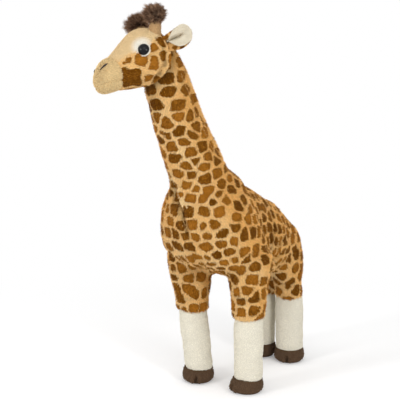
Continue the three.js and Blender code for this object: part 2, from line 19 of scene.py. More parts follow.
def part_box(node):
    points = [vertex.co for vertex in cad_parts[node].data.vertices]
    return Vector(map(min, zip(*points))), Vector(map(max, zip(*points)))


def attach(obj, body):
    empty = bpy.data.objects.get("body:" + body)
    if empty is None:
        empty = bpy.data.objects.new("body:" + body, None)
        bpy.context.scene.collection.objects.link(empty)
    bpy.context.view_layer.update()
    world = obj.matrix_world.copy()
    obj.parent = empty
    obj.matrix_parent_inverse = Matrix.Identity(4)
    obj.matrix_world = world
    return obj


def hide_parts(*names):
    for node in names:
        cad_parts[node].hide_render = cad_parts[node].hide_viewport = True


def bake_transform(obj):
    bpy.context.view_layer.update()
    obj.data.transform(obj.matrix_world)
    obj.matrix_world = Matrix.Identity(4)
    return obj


bl_info = {
    "name": "Plush giraffe",
    "version": (1, 0, 0),
    "blender": (4, 5, 0),
    "location": "View3D > Sidebar > Giraffe",
    "description": "Builds a standing plush giraffe with printed pile, furry horns and soft hooves",
    "category": "Object",
}

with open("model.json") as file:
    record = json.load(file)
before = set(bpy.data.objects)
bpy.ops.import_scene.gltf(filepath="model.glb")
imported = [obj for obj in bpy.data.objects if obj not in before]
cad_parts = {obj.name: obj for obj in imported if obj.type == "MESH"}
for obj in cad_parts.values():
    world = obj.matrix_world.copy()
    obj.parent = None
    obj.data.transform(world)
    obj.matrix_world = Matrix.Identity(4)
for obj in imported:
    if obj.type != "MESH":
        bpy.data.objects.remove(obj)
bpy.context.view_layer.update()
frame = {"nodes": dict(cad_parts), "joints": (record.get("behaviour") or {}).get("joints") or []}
MM = 0.001
SEED = 7

LEFT = Vector((1, 0, 0))
AHEAD = Vector((0, -1, 0))
UP = Vector((0, 0, 1))
JOINTS = {joint["name"]: joint for joint in frame["joints"]}


def joint_point(name):
    return Vector(JOINTS[name]["pos_m"])


def joint_axis(name):
    return Vector(JOINTS[name]["axis"]).normalized()


def node_middle(node):
    low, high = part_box(node)
    return (low + high) / 2


# The middle of the four feet on the floor, from which the toy's own places are counted
FEET_MIDDLE = Vector((
    joint_point("tail_swing").x,
    (node_middle("front_left_sock").y + node_middle("rear_left_sock").y) / 2,
    0,
))
NECK_ROOT = joint_point("neck_bend")
HEAD_ROOT = joint_point("head_turn")
NECK_UP = joint_axis("head_turn")
NECK_LENGTH = (HEAD_ROOT - NECK_ROOT).length
NECK_AHEAD = LEFT.cross(NECK_UP).normalized()
NECK_LEFT = NECK_UP.cross(NECK_AHEAD)
HEAD_NOD, HEAD_TILT, HEAD_TURN = 8, 14, 27
HEAD_AXES = Euler(
    [math.radians(angle) for angle in (HEAD_NOD, -HEAD_TILT, -HEAD_TURN)]
).to_matrix()
HEAD_LEFT = HEAD_AXES @ LEFT
HEAD_AHEAD = HEAD_AXES @ AHEAD
HEAD_UP = HEAD_AXES @ UP
SIDES = {"left": 1, "right": -1}


def toy(x, y, z):
    """A place given in millimetres from the middle of the feet."""
    return FEET_MIDDLE + Vector((x, y, z)) * MM


def head_point(left, ahead, above):
    """A place given in metres from the head's joint, as the giraffe sees it."""
    return HEAD_ROOT + HEAD_LEFT * left + HEAD_AHEAD * ahead + HEAD_UP * above


# Settings


def length(name, millimetres, text):
    return FloatProperty(name=name, description=text, default=millimetres * MM, unit="LENGTH")


def amount(name, value, text):
    return FloatProperty(name=name, description=text, default=value)


def linear(code):
    """An sRGB hex colour as linear values."""
    values = [int(code[i : i + 2], 16) / 255 for i in (0, 2, 4)]
    return [v / 12.92 if v <= 0.04045 else ((v + 0.055) / 1.055) ** 2.4 for v in values]


def colour(name, code, text):
    return FloatVectorProperty(
        name=name, description=text, default=linear(code), subtype="COLOR", size=3)


class GiraffeBody(bpy.types.PropertyGroup):
    """Sizes of the stuffed torso, neck and legs."""

    shoulder_width: length("Shoulder width", 160, "Across the chest")
    shoulder_depth: length("Shoulder depth", 148, "From the breast to the back of the shoulders")
    barrel_width: length("Barrel width", 128, "Across the belly")
    barrel_height: length("Barrel height", 152, "Depth of the belly")
    neck_width: length("Neck width", 89, "Across the neck's foot")
    front_leg_width: length("Front leg width", 74, "Across the top of a front leg")
    front_leg_depth: length("Front leg depth", 76, "Front to back at the top of a front leg")
    hind_leg_width: length("Hind leg width", 52, "Across a haunch")
    hind_leg_depth: length("Hind leg depth", 80, "Front to back at a haunch")


class GiraffeHead(bpy.types.PropertyGroup):
    """Sizes of the head and of what is sewn to it."""

    width: length("Width", 74, "Across the cheeks")
    height: length("Height", 84, "From jaw to crown")
    length: length("Length", 104, "From the back of the head to the muzzle seam")
    muzzle_width: length("Muzzle width", 56, "Across the nose")
    muzzle_height: length("Muzzle height", 50, "From the chin to the top of the nose")
    muzzle_length: length("Muzzle length", 32, "From the muzzle seam to the tip of the nose")
    eye_radius: length("Eye radius", 8.8, "Radius of the domed safety eye")
    eye_bulge: length("Eye bulge", 6.5, "How far the eye stands out of the plush")
    horn_width: length("Horn width", 17.5, "Across a horn's stem")
    tuft_width: length("Tuft width", 19, "Across a horn tuft without its loose fibre ends")
    ear_width: length("Ear width", 34.5, "Across the ear's leaf, measured round its curve")
    ear_roll: amount("Ear roll", 105, "Degrees that each edge rolls round at the ear's foot")


class GiraffeCoat(bpy.types.PropertyGroup):
    """Colours and pile of the plush."""

    gold: colour("Gold", "EAB66A", "Ground of the print on the back and sides")
    cream: colour("Cream", "F0D29C", "Ground of the print on the breast")
    patch_dark: colour("Dark patch", "6E4002", "Darkest patches of the print")
    patch_light: colour("Light patch", "B97826", "Lightest patches of the print")
    brow: colour("Brow", "F3EDDF", "Whitish plush above the eyes")
    face: colour("Face", "E9CC9B", "Pale plush of the face panel")
    muzzle: colour("Muzzle", "E5C893", "Beige plush of the nose and chin")
    sock: colour("Sock", "F7F1DF", "Cream plush of the lower legs")
    hoof: colour("Hoof", "6C5440", "Brown plush of the hooves")
    tuft: colour("Tuft", "4A2A1B", "Dark fibre of the horn tufts and the tail")
    tuft_tip: colour("Tuft tip", "C6A080", "Pale ends of that fibre")
    lining: colour("Lining", "F0E6CF", "Smooth lining of the ears")
    pile_length: length("Pile length", 4.2, "Length of the body's pile")
    pile_spacing: length("Pile spacing", 1.6, "Distance between tufts of the body's pile")
    patch_pitch: length("Patch pitch", 17.5, "Distance between the middles of two patches")
    lane_width: length("Lane width", 3.3, "Width of the pale lanes between the patches")


class GiraffeStage(bpy.types.PropertyGroup):
    """Camera and light."""

    camera_azimuth: amount("Camera azimuth", 31, "Degrees round the toy from its front")
    camera_distance: length("Camera distance", 1860, "From the feet to the camera")
    camera_height: length("Camera height", 636, "Height of the lens")
    camera_pitch: amount("Camera pitch", 10.15, "Degrees below the horizon")
    camera_pan: amount("Camera pan", 2.67, "Degrees turned off the feet")
    lens: amount("Lens", 99.5, "Focal length in millimetres on a 36 mm sensor")
    key_power: amount("Key", 7, "Power of the key light")
    fill_power: amount("Fill", 5, "Power of the fill light")
    catch_power: amount("Catch lights", 7.2, "Power of the two lamps that show in the eyes")
    world_level: amount("World", 0.75, "Strength of the world")
    floor_lift: amount("Floor lift", 0.19, "Glow that brings the lit paper up to white")


# Forms: stuffed shapes along a line, as the frame's solids have them. Each station says its share of
# the length, its shift to the fore as a share of the depth, and its shares of width and depth.
Form = namedtuple("Form", "start end across fore width depth stations squareness")

SHOULDER_SHARES = [
    (0, 0, 0.66, 0.5), (0.06, 0, 0.86, 0.72), (0.16, 0.01, 0.96, 0.88), (0.3, 0.02, 1, 0.97),
    (0.46, 0.03, 0.98, 1), (0.61, 0.03, 0.9, 0.97), (0.76, 0.02, 0.75, 0.87), (0.89, 0.01, 0.58, 0.7),
    (1, 0, 0.42, 0.5),
]
BARREL_SHARES = [
    (0, 0, 0.7, 0.7), (0.14, 0.02, 0.96, 0.98), (0.32, 0.03, 1, 1), (0.5, 0.02, 0.94, 0.9),
    (0.68, 0.01, 0.84, 0.79), (0.84, 0, 0.74, 0.66), (0.94, 0, 0.58, 0.5), (1, 0, 0.34, 0.28),
]
NECK_SHARES = [
    (-0.2, 0, 0.7, 0.7), (0, 0, 1, 1), (0.18, 0, 0.99, 0.99), (0.44, 0, 0.9, 0.9), (0.68, 0, 0.76, 0.76),
    (0.86, 0, 0.67, 0.67), (1, 0, 0.62, 0.62), (1.1, 0, 0.5, 0.5), (1.15, 0, 0.28, 0.28),
]
FRONT_LEG_SHARES = [
    (0, 0, 0.72, 0.7), (0.04, 0, 0.76, 0.73), (0.14, 0, 0.75, 0.72), (0.22, 0, 0.78, 0.75),
    (0.4, 0, 0.87, 0.84), (0.6, 0, 0.97, 0.95), (0.8, 0, 1, 1), (0.93, 0, 0.8, 0.8), (1, 0, 0.5, 0.5),
]
HIND_LEG_SHARES = [
    (0, 0, 0.95, 0.61), (0.05, 0, 1, 0.65), (0.2, 0, 0.98, 0.7), (0.4, 0, 1, 0.82), (0.62, 0, 1, 0.96),
    (0.8, 0, 0.9, 0.94), (0.94, 0, 0.62, 0.7), (1, 0, 0.36, 0.44),
]
HEAD_SHARES = [
    (0, 0.02, 0.4, 0.4), (0.06, 0.02, 0.68, 0.68), (0.17, 0.01, 0.9, 0.88), (0.32, 0, 1, 1),
    (0.48, -0.012, 0.98, 0.97), (0.64, -0.075, 0.88, 0.85), (0.8, -0.143, 0.76, 0.69),
    (0.92, -0.18, 0.68, 0.56), (1, -0.18, 0.5, 0.44),
]
MUZZLE_SHARES = [
    (0, 0, 0.93, 0.96), (0.16, 0, 0.98, 1), (0.4, -0.02, 1, 0.99), (0.64, -0.07, 0.96, 0.9),
    (0.82, -0.135, 0.84, 0.71), (0.94, -0.175, 0.6, 0.47), (1, -0.18, 0.28, 0.22),
]
SOCK_SHARES = [
    (0, 0, 0.98, 0.98), (0.06, 0, 1, 1), (0.3, 0, 1.01, 1.01), (0.86, 0, 0.98, 0.98), (1, 0, 0.86, 0.86),
]
HOOF_SHARES = [
    (0, 0, 0.87, 0.88), (0.18, 0, 0.97, 0.97), (0.42, 0, 1, 1), (0.75, -0.02, 0.95, 0.91),
    (1, -0.05, 0.88, 0.82),
]
SOLE_SHARES = [(0, 0, 0.96, 0.96), (0.3, 0, 1, 1), (0.8, 0, 1, 1), (1, 0, 0.97, 0.97)]
HORN_SHARES = [
    (0, 0, 1.08, 1.08), (0.4, 0, 0.98, 0.98), (0.75, 0, 0.9, 0.9), (0.94, 0, 0.72, 0.72),
    (1, 0, 0.4, 0.4),
]
PILL_SHARES = [
    (0, 0, 0.3, 0.3), (0.1, 0, 0.68, 0.68), (0.3, 0, 0.95, 0.95), (0.55, 0, 1, 1), (0.8, 0, 0.84, 0.84),
    (0.95, 0, 0.5, 0.5), (1, 0, 0.25, 0.25),
]
MANE_SHARES = [
    (0, -0.1, 0.3, 0.4), (0.04, -0.06, 0.8, 0.85), (0.12, -0.06, 1, 1), (0.34, -0.2, 1, 1),
    (0.5, -0.16, 1, 1), (0.68, 0.04, 0.95, 1), (0.92, 0.1, 0.9, 0.95), (1, 0, 0.4, 0.5),
]
TAIL_SHARES = [
    (0, 0, 0.8, 0.8), (0.1, 0, 1, 1), (0.5, 0, 0.92, 0.92), (0.95, 0, 0.8, 0.8), (1, 0, 0.5, 0.5)]


def eased(stations, along, column):
    """A station value at a share of the length, on a smooth curve through the stations."""
    x = stations[:, 0]
    y = stations[:, column]
    slope = np.gradient(y, x)
    low = int(np.clip(np.searchsorted(x, along) - 1, 0, len(x) - 2))
    step = x[low + 1] - x[low]
    t = (along - x[low]) / step
    rise = y[low] * (1 + 2 * t) * (1 - t) ** 2 + y[low + 1] * t * t * (3 - 2 * t)
    return rise + step * (slope[low] * t * (1 - t) ** 2 - slope[low + 1] * t * t * (1 - t))


def form_ring(form, along, angles):
    """Points of a form's outline at a share of its length."""
    stations = np.array(form.stations, float)
    shift, wide, deep = (eased(stations, along, column) for column in (1, 2, 3))
    power = 2 / form.squareness
    across = np.sign(np.cos(angles)) * np.abs(np.cos(angles)) ** power * wide * form.width / 2
    fore = np.sign(np.sin(angles)) * np.abs(np.sin(angles)) ** power * deep * form.depth / 2
    centre = form.start.lerp(form.end, along) + form.fore * (shift * form.depth)
    return (
        np.array(centre)
        + across[:, None] * np.array(form.across)
        + fore[:, None] * np.array(form.fore)
    )


def form_point(form, along, degrees):
    return Vector(form_ring(form, along, np.radians([degrees]))[0])


def ring_quads(rows, sides, wrap=False):
    """Quads between rings of points, with wrap also from the last ring back to the first."""
    low = np.arange(rows if wrap else rows - 1)[:, None] * sides
    high = (low + sides) % (rows * sides)
    side = np.arange(sides)
    after = (side + 1) % sides
    return np.stack([low + side, low + after, high + after, high + side], -1).reshape(-1, 4)


def ring(centre, radius, one, other, sides):
    """Points of a circle that turns from one direction to the other."""
    turns = np.linspace(0, 2 * math.pi, sides, endpoint=False)[:, None]
    return np.array(centre) + radius * (np.cos(turns) * np.array(one) + np.sin(turns) * np.array(other))


def closed_rings(rings):
    """Rings of points as a list of points and triangles, closed by a fan at each end."""
    rows, sides = rings.shape[:2]
    points = np.concatenate([rings.reshape(-1, 3), [rings[0].mean(0), rings[-1].mean(0)]])
    quads = ring_quads(rows, sides)
    first, last = np.full((sides, 1), rows * sides), np.full((sides, 1), rows * sides + 1)
    faces = [np.hstack([first, quads[:sides, [1, 0]]]), np.hstack([last, quads[-sides:, [3, 2]]])]
    return points, np.concatenate([*faces, quads[:, [0, 1, 2]], quads[:, [0, 2, 3]]])


def loft(form, rings=40, sides=56):
    """A form as points and triangles."""
    low, high = form.stations[0][0], form.stations[-1][0]
    angles = np.linspace(0, 2 * math.pi, sides, endpoint=False)
    outlines = [form_ring(form, along, angles) for along in np.linspace(low, high, rings)]
    points, faces = closed_rings(np.array(outlines))
    if form.across.cross(form.fore).dot(form.end - form.start) < 0:
        faces = faces[:, ::-1]
    return points, faces


# Meshes


def linked_piece(name, mesh, smooth=True):
    """An object of a mesh in the scene, shaded smooth unless it is told otherwise."""
    if smooth:
        mesh.shade_smooth()
    piece = bpy.data.objects.new(name, mesh)
    bpy.context.scene.collection.objects.link(piece)
    return piece


def mesh_piece(name, points, faces, smooth=False):
    """A piece from an array of points and an array of faces with equally many corners."""
    mesh = bpy.data.meshes.new(name)
    points = np.ascontiguousarray(points, np.float32)
    faces = np.ascontiguousarray(faces, np.int32)
    starts = np.arange(0, faces.size, faces.shape[1], dtype=np.int32)
    mesh.vertices.add(len(points))
    mesh.vertices.foreach_set("co", points.ravel())
    mesh.loops.add(faces.size)
    mesh.loops.foreach_set("vertex_index", faces.ravel())
    mesh.polygons.add(len(faces))
    mesh.polygons.foreach_set("loop_start", starts)
    mesh.update(calc_edges=True)
    return linked_piece(name, mesh, smooth)


def array_of(items, field, width=3, kind=np.float32):
    values = np.empty(len(items) * width, kind)
    items.foreach_get(field, values)
    return values.reshape(-1, width)


def points_of(mesh):
    return array_of(mesh.vertices, "co").astype(float)


def normals_of(mesh):
    return array_of(mesh.vertex_normals, "vector").astype(float)


def edges_of(mesh):
    return array_of(mesh.edges, "vertices", 2, np.int32)


def triangles_of(mesh):
    mesh.calc_loop_triangles()
    return array_of(mesh.loop_triangles, "vertices", 3, np.int32)


def move_points(mesh, points):
    mesh.vertices.foreach_set("co", np.ascontiguousarray(points, np.float32).ravel())
    mesh.update()


def push_out(mesh, amounts):
    """Moves each point of a skin outward by an amount of its own."""
    move_points(mesh, points_of(mesh) + normals_of(mesh) * np.reshape(amounts, (-1, 1)))


def set_values(mesh, name, values):
    """Gives each point of a mesh a named value, or all of them the same one."""
    values = np.broadcast_to(values, len(mesh.vertices))
    attribute = mesh.attributes.get(name) or mesh.attributes.new(name, "FLOAT", "POINT")
    attribute.data.foreach_set("value", np.ascontiguousarray(values, np.float32))


def get_values(mesh, name):
    attribute = mesh.attributes.get(name)
    if attribute is None:
        return np.zeros(len(mesh.vertices))
    return array_of(attribute.data, "value", 1)[:, 0].astype(float)


def evaluated_mesh(piece):
    graph = bpy.context.evaluated_depsgraph_get()
    return bpy.data.meshes.new_from_object(piece.evaluated_get(graph))


def apply_modifiers(piece):
    made = evaluated_mesh(piece)
    made.name = piece.name
    piece.modifiers.clear()
    piece.data = made


def face_out(mesh):
    """Turns a closed mesh's faces outward."""
    corners = points_of(mesh)[triangles_of(mesh)]
    if (corners[:, 0] * np.cross(corners[:, 1], corners[:, 2])).sum() < 0:
        mesh.flip_normals()


def skin_tree(piece):
    return BVHTree.FromObject(piece, bpy.context.evaluated_depsgraph_get())


def bell(gap, width):
    return np.exp(-((gap / width) ** 2))


def smooth_step(low, high, values):
    t = np.clip((values - low) / (high - low), 0, 1)
    return t * t * (3 - 2 * t)


def unit(ways):
    return ways / np.maximum(np.linalg.norm(ways, axis=1, keepdims=True), 1e-9)


def gaps_to(points, place):
    return np.linalg.norm(points - np.array(place), axis=1)


def relaxed(points, edges, steps, hold=None, keep_size=True):
    """Points drawn towards their neighbours. With keep_size, each pull is followed by a push back."""
    count = np.bincount(edges.ravel(), minlength=len(points))[:, None]
    pulls = (0.5, -0.5 * 1.04) if keep_size else (0.5,)
    for _ in range(steps):
        for pull in pulls:
            total = np.empty_like(points)
            for axis in range(3):
                total[:, axis] = np.bincount(edges[:, 0], points[edges[:, 1], axis], len(points))
                total[:, axis] += np.bincount(edges[:, 1], points[edges[:, 0], axis], len(points))
            shift = (total / np.maximum(count, 1) - points) * pull
            points = points + (shift if hold is None else shift * hold[:, None])
    return points


def slab(name, outer, inner, rounds):
    """A sheet with a thickness, from a grid of points on each of its faces."""
    rows, columns = outer.shape[:2]
    count = rows * columns
    grid = np.arange(count).reshape(rows, columns)
    corners = grid[:-1, :-1], grid[:-1, 1:], grid[1:, 1:], grid[1:, :-1]
    faces = np.stack(corners, -1).reshape(-1, 4)
    rim = np.concatenate([grid[0, :-1], grid[:-1, -1], grid[-1, :0:-1], grid[:0:-1, 0]])
    after = np.roll(rim, -1)
    wall = np.stack([after, rim, rim + count, after + count], 1)
    points = np.concatenate([outer.reshape(-1, 3), inner.reshape(-1, 3)])
    piece = mesh_piece(name, points, np.concatenate([faces, faces[:, ::-1] + count, wall]), True)
    mesh = piece.data
    move_points(mesh, relaxed(points_of(mesh), edges_of(mesh), rounds, keep_size=False))
    face_out(mesh)
    return piece


def stuffed(name, forms, voxel, rounding):
    """One closed skin over forms that run into each other, evened out as filling evens it."""
    points, faces, start = [], [], 0
    for form in forms:
        made, corners = loft(form)
        points.append(made)
        faces.append(corners + start)
        start += len(made)
    piece = mesh_piece(name, np.concatenate(points), np.concatenate(faces))
    remesh = piece.modifiers.new("even", "REMESH")
    remesh.mode = "VOXEL"
    remesh.voxel_size = voxel
    apply_modifiers(piece)
    mesh = piece.data
    move_points(mesh, relaxed(points_of(mesh), edges_of(mesh), rounding))
    mesh.shade_smooth()
    return piece


def line_distance(points, line):
    """Each point's distance to a line through several places, and how far along it that is."""
    line = np.array([list(place) for place in line], float)
    best = np.full(len(points), 1e9)
    share_along = np.zeros(len(points))
    for number, (start, end) in enumerate(zip(line[:-1], line[1:])):
        way = end - start
        t = np.clip((points - start) @ way / (way @ way), 0, 1)
        gap = np.linalg.norm(points - start - t[:, None] * way, axis=1)
        nearer = gap < best
        best[nearer] = gap[nearer]
        share_along[nearer] = (number + t[nearer]) / (len(line) - 1)
    return best, share_along


def laid_on(piece, line, step=4 * MM):
    """A line through several places, brought onto a skin in short steps."""
    tree = skin_tree(piece)
    laid = []
    for start, end in zip(line[:-1], line[1:]):
        count = max(1, round((end - start).length / step))
        laid += [tree.find_nearest(start.lerp(end, number / count))[0] for number in range(count)]
    return [*laid, tree.find_nearest(line[-1])[0]]


def near_line(piece, line):
    """How far each point of a skin is from a line laid on it, and how far along the line it is."""
    return line_distance(points_of(piece.data), laid_on(piece, line))


def crease(piece, line, depth, width, swell=0.35, fade=0.15):
    """Draws a seam or fold, its sizes in mm, into a skin along a line that swells on both sides."""
    gap, along = near_line(piece, line)
    depth, width = depth * MM, width * MM
    ends = np.clip(np.minimum(along, 1 - along) / fade, 0, 1) if fade else 1
    push = -depth * bell(gap, width) + depth * swell * bell(gap - 2.4 * width, 1.3 * width)
    push_out(piece.data, push * ends)


def fill_line(piece, line, height, width):
    """Fills a skin out round a line."""
    crease(piece, line, -height, width, swell=0, fade=0)


def paint_fold_shade(piece, lines, reach):
    """Paints shade into a skin's folds by darkening its colour, least at a fold's ends."""
    crushed = get_values(piece.data, "crushed")
    for line, shade_share in lines:
        gap, along = near_line(piece, line)
        ends = np.clip(np.minimum(along, 1 - along) / 0.15, 0, 1)
        crushed = np.maximum(crushed, shade_share * ends * bell(gap, reach))
    set_values(piece.data, "crushed", crushed)


def soften(piece, line, reach, steps):
    """Fills the hollow along a line by relaxing a skin round it, outward only."""
    mesh = piece.data
    points = points_of(mesh)
    hold = 1 - bell(near_line(piece, line)[0], reach)
    way = relaxed(points, edges_of(mesh), steps, hold=hold, keep_size=False) - points
    push_out(mesh, np.maximum((way * normals_of(mesh)).sum(1), 0))


CLOTH_SETTINGS = {
    "quality": 5,
    "mass": 0.25,
    "tension_stiffness": 12,
    "compression_stiffness": 12,
    "shear_stiffness": 4,
    "bending_stiffness": 0.4,
    "use_pressure": True,
    "uniform_pressure_force": 4,
    "vertex_group_mass": "held",
}
CLOTH_FRAMES = 20


def fill_out(piece, seams, cap):
    """Blows a skin up as its filling does: cloth under pressure, held along its seams."""
    mesh = piece.data
    before = points_of(mesh)
    hold = np.zeros(len(before))
    for line, reach in seams:
        hold = np.maximum(hold, bell(line_distance(before, line)[0], reach))
    group = piece.vertex_groups.new(name="held")
    for number in np.nonzero(hold > 0.05)[0]:
        group.add([int(number)], float(hold[number]), "REPLACE")
    cloth = piece.modifiers.new("filling", "CLOTH")
    for name, value in CLOTH_SETTINGS.items():
        setattr(cloth.settings, name, value)
    cloth.settings.effector_weights.gravity = 0
    cloth.collision_settings.use_collision = False
    cloth.point_cache.frame_start = 1
    cloth.point_cache.frame_end = CLOTH_FRAMES
    scene = bpy.context.scene
    for number in range(1, CLOTH_FRAMES + 1):
        scene.frame_set(number)
    filled = evaluated_mesh(piece)
    way = points_of(filled) - before
    piece.modifiers.remove(cloth)
    piece.vertex_groups.clear()
    bpy.data.meshes.remove(filled)
    scene.frame_set(1)
    far = np.linalg.norm(way, axis=1, keepdims=True)
    way = way * np.minimum(1, cap / np.maximum(far, 1e-9))
    move_points(mesh, before + way * (1 - hold)[:, None])


def divided(piece):
    """Halves every edge of a skin on a smooth surface."""
    piece.modifiers.new("divide", "SUBSURF").levels = 1
    apply_modifiers(piece)
    piece.data.shade_smooth()


def ripple(points, size, seed, layers=6):
    """Smooth random values over space, about -1 to 1, that change over a distance of size."""
    rng = np.random.default_rng(seed)
    total = np.zeros(len(points))
    for _ in range(layers):
        way = rng.normal(size=3)
        way *= 2 * math.pi / (np.linalg.norm(way) * size * rng.uniform(0.8, 1.9))
        total += np.sin(points @ way + rng.uniform(0, 2 * math.pi))
    return total / math.sqrt(layers)


# The print: patches round scattered middles, with lanes between them
MOST_PATCHES = 2500
JITTER_SHARE = 0.15
JOINED_SHARE = 0.12
SQUARENESS = 4.0
ROUNDING = 1.0 * MM
PATCH_TURN = 0.3
DOWN_SHARES = (0.48, 0.62)
ACROSS_SHARES = (0.52, 0.72)
SEAM_LANE = 1.3 * MM
# How far the print's edges wander: over what distance, by how much, and from which seed on
WARPS = ((20 * MM, 0.9 * MM, 0), (6 * MM, 0.3 * MM, 5))


def spread_middles(places, pitch, first):
    """Middles of patches: the first ones, then each time the place farthest from those before."""
    picked, waiting = [], list(first)
    gap = np.full(len(places), np.inf)
    while len(picked) <= MOST_PATCHES:
        number = waiting.pop(0) if waiting else int(np.argmax(gap))
        if gap[number] < 1 and len(picked) >= len(first):
            break
        picked.append(number)
        gap = np.minimum(gap, gaps_to(places, places[number]) / pitch)
    return np.array(picked)


def nearest_middles(places, middles, count):
    """The numbers of the nearest middles to each place."""
    found = np.empty((len(places), count), int)
    for start in range(0, len(places), 4000):
        part = places[start : start + 4000]
        gaps = ((part[:, None, :] - middles[None, :, :]) ** 2).sum(2)
        found[start : start + 4000] = np.argpartition(gaps, count, axis=1)[:, :count]
    return found


def joined_neighbours(middles, pitch, rng):
    """A number for each patch; a few pairs of neighbours share one, and print as one odd shape."""
    group = np.arange(len(middles))
    for number in range(len(middles)):
        if rng.random() < JOINED_SHARE and group[number] == number:
            gaps = gaps_to(middles, middles[number])
            gaps[number] = 1
            other = int(np.argmin(gaps))
            if gaps[other] < 1.25 * pitch[number] and group[other] == other:
                group[other] = number
    return group


def lay_print(piece, pitch, lane, seed, stretch=None, placed=(), seams=()):
    """Prints a skin and returns the print as a function of place.

    placed lists the patches that have a place of their own, each as its growth, which is near
    nothing where the ground stays bare, and one or more middles. Along seams lies a light lane.
    """
    mesh = piece.data
    points = points_of(mesh)
    spread = points if stretch is None else stretch(points)
    pitch = np.broadcast_to(pitch, len(points))
    rng = np.random.default_rng(seed)
    first, family, growth = [], [], []
    for larger, spots in placed:
        family += [len(first)] * len(spots)
        growth += [larger] * len(spots)
        first += [int(np.argmin(gaps_to(points, spot))) for spot in spots]
    fixed = len(first)
    picked = spread_middles(spread, pitch, first or [int(rng.integers(len(points)))])
    loose = (np.arange(len(picked)) >= fixed)[:, None]
    jitter = rng.normal(size=(len(picked), 3)) * pitch[picked, None] * JITTER_SHARE
    middles = spread[picked] + jitter * loose
    group = joined_neighbours(middles, pitch[picked], rng)
    group[:fixed] = family
    tones = rng.random(len(middles))[group]
    count = min(7, len(middles) - 1)

    # A rounded rectangle for each patch, turned a little off the way down the skin
    out = normals_of(mesh)[picked]
    down = unit(np.array((0.0, 0.0, -1.0)) - out * -out[:, 2:])
    across = np.cross(out, down)
    turn = (rng.normal(size=len(picked)) * PATCH_TURN)[:, None]
    turn[:fixed] *= 0.4
    cos, sin = np.cos(turn), np.sin(turn)
    down, across = down * cos + across * sin, across * cos - down * sin
    tall = pitch[picked] * rng.uniform(*DOWN_SHARES, len(picked))
    wide = pitch[picked] * rng.uniform(*ACROSS_SHARES, len(picked))
    tall[:fixed] *= growth
    wide[:fixed] *= growth

    def in_rectangle(way, number):
        """How far a way from a patch's middle stays inside its rectangle."""
        share_down = np.abs((way * down[number]).sum(1)) / tall[number]
        share_across = np.abs((way * across[number]).sum(1)) / wide[number]
        reach = (share_down ** 4 + share_across ** 4) ** 0.25
        return (1 - reach) * np.minimum(tall[number], wide[number])

    def field(spots):
        """How far each spot lies inside its patch, in millimetres, and that patch's tone."""
        warp = sum(
            np.stack([ripple(spots, size, seed + first + k) for k in range(3)], 1) * far
            for size, far, first in WARPS)
        moved = (spots if stretch is None else stretch(spots)) + warp
        near = nearest_middles(moved, middles, count)
        way = np.abs(moved[:, None, :] - middles[near])
        gaps = (way ** SQUARENESS).sum(2) ** (1 / SQUARENESS)
        order = np.argsort(gaps, axis=1)
        near = np.take_along_axis(near, order, 1)
        gaps = np.take_along_axis(gaps, order, 1)
        edges = (gaps[:, 1:] - gaps[:, :1]) / 2
        edges = edges + 0.05 * (group[near[:, 1:]] == group[near[:, :1]])
        inside = -ROUNDING * np.log(np.exp(-edges / ROUNDING).sum(1)) - lane / 2
        own = in_rectangle(moved - middles[near[:, 0]], near[:, 0])
        second = in_rectangle(moved - middles[near[:, 1]], near[:, 1])
        joined = group[near[:, 0]] == group[near[:, 1]]
        inside = np.minimum(inside, np.where(joined, np.maximum(own, second), own))
        for line in seams:
            inside = np.minimum(inside, line_distance(spots, line)[0] - SEAM_LANE)
        return inside / MM, tones[near[:, 0]]

    inside, tone = field(points)
    set_values(mesh, "print", inside)
    set_values(mesh, "tone", tone)
    return field


# Pile: short bent blades of fibre that stand on a skin. A print is dyed on from above, so a blade
# takes its colour from where it shows and not from its root.
DYE_RUN = 0.55
DYE_STREAK = 0.3
LEAN_SPREAD = 9
BLADE_BEND = 18
TOUSLE = 0.35
BLADE_POINTS = 5
BLADE_FACES = ((0, 1, 3), (0, 3, 2), (2, 3, 4))
BLADE_CELL = ((0.2, 0.1), (0.8, 0.1), (0.2, 0.5), (0.8, 0.5), (0.5, 0.9))


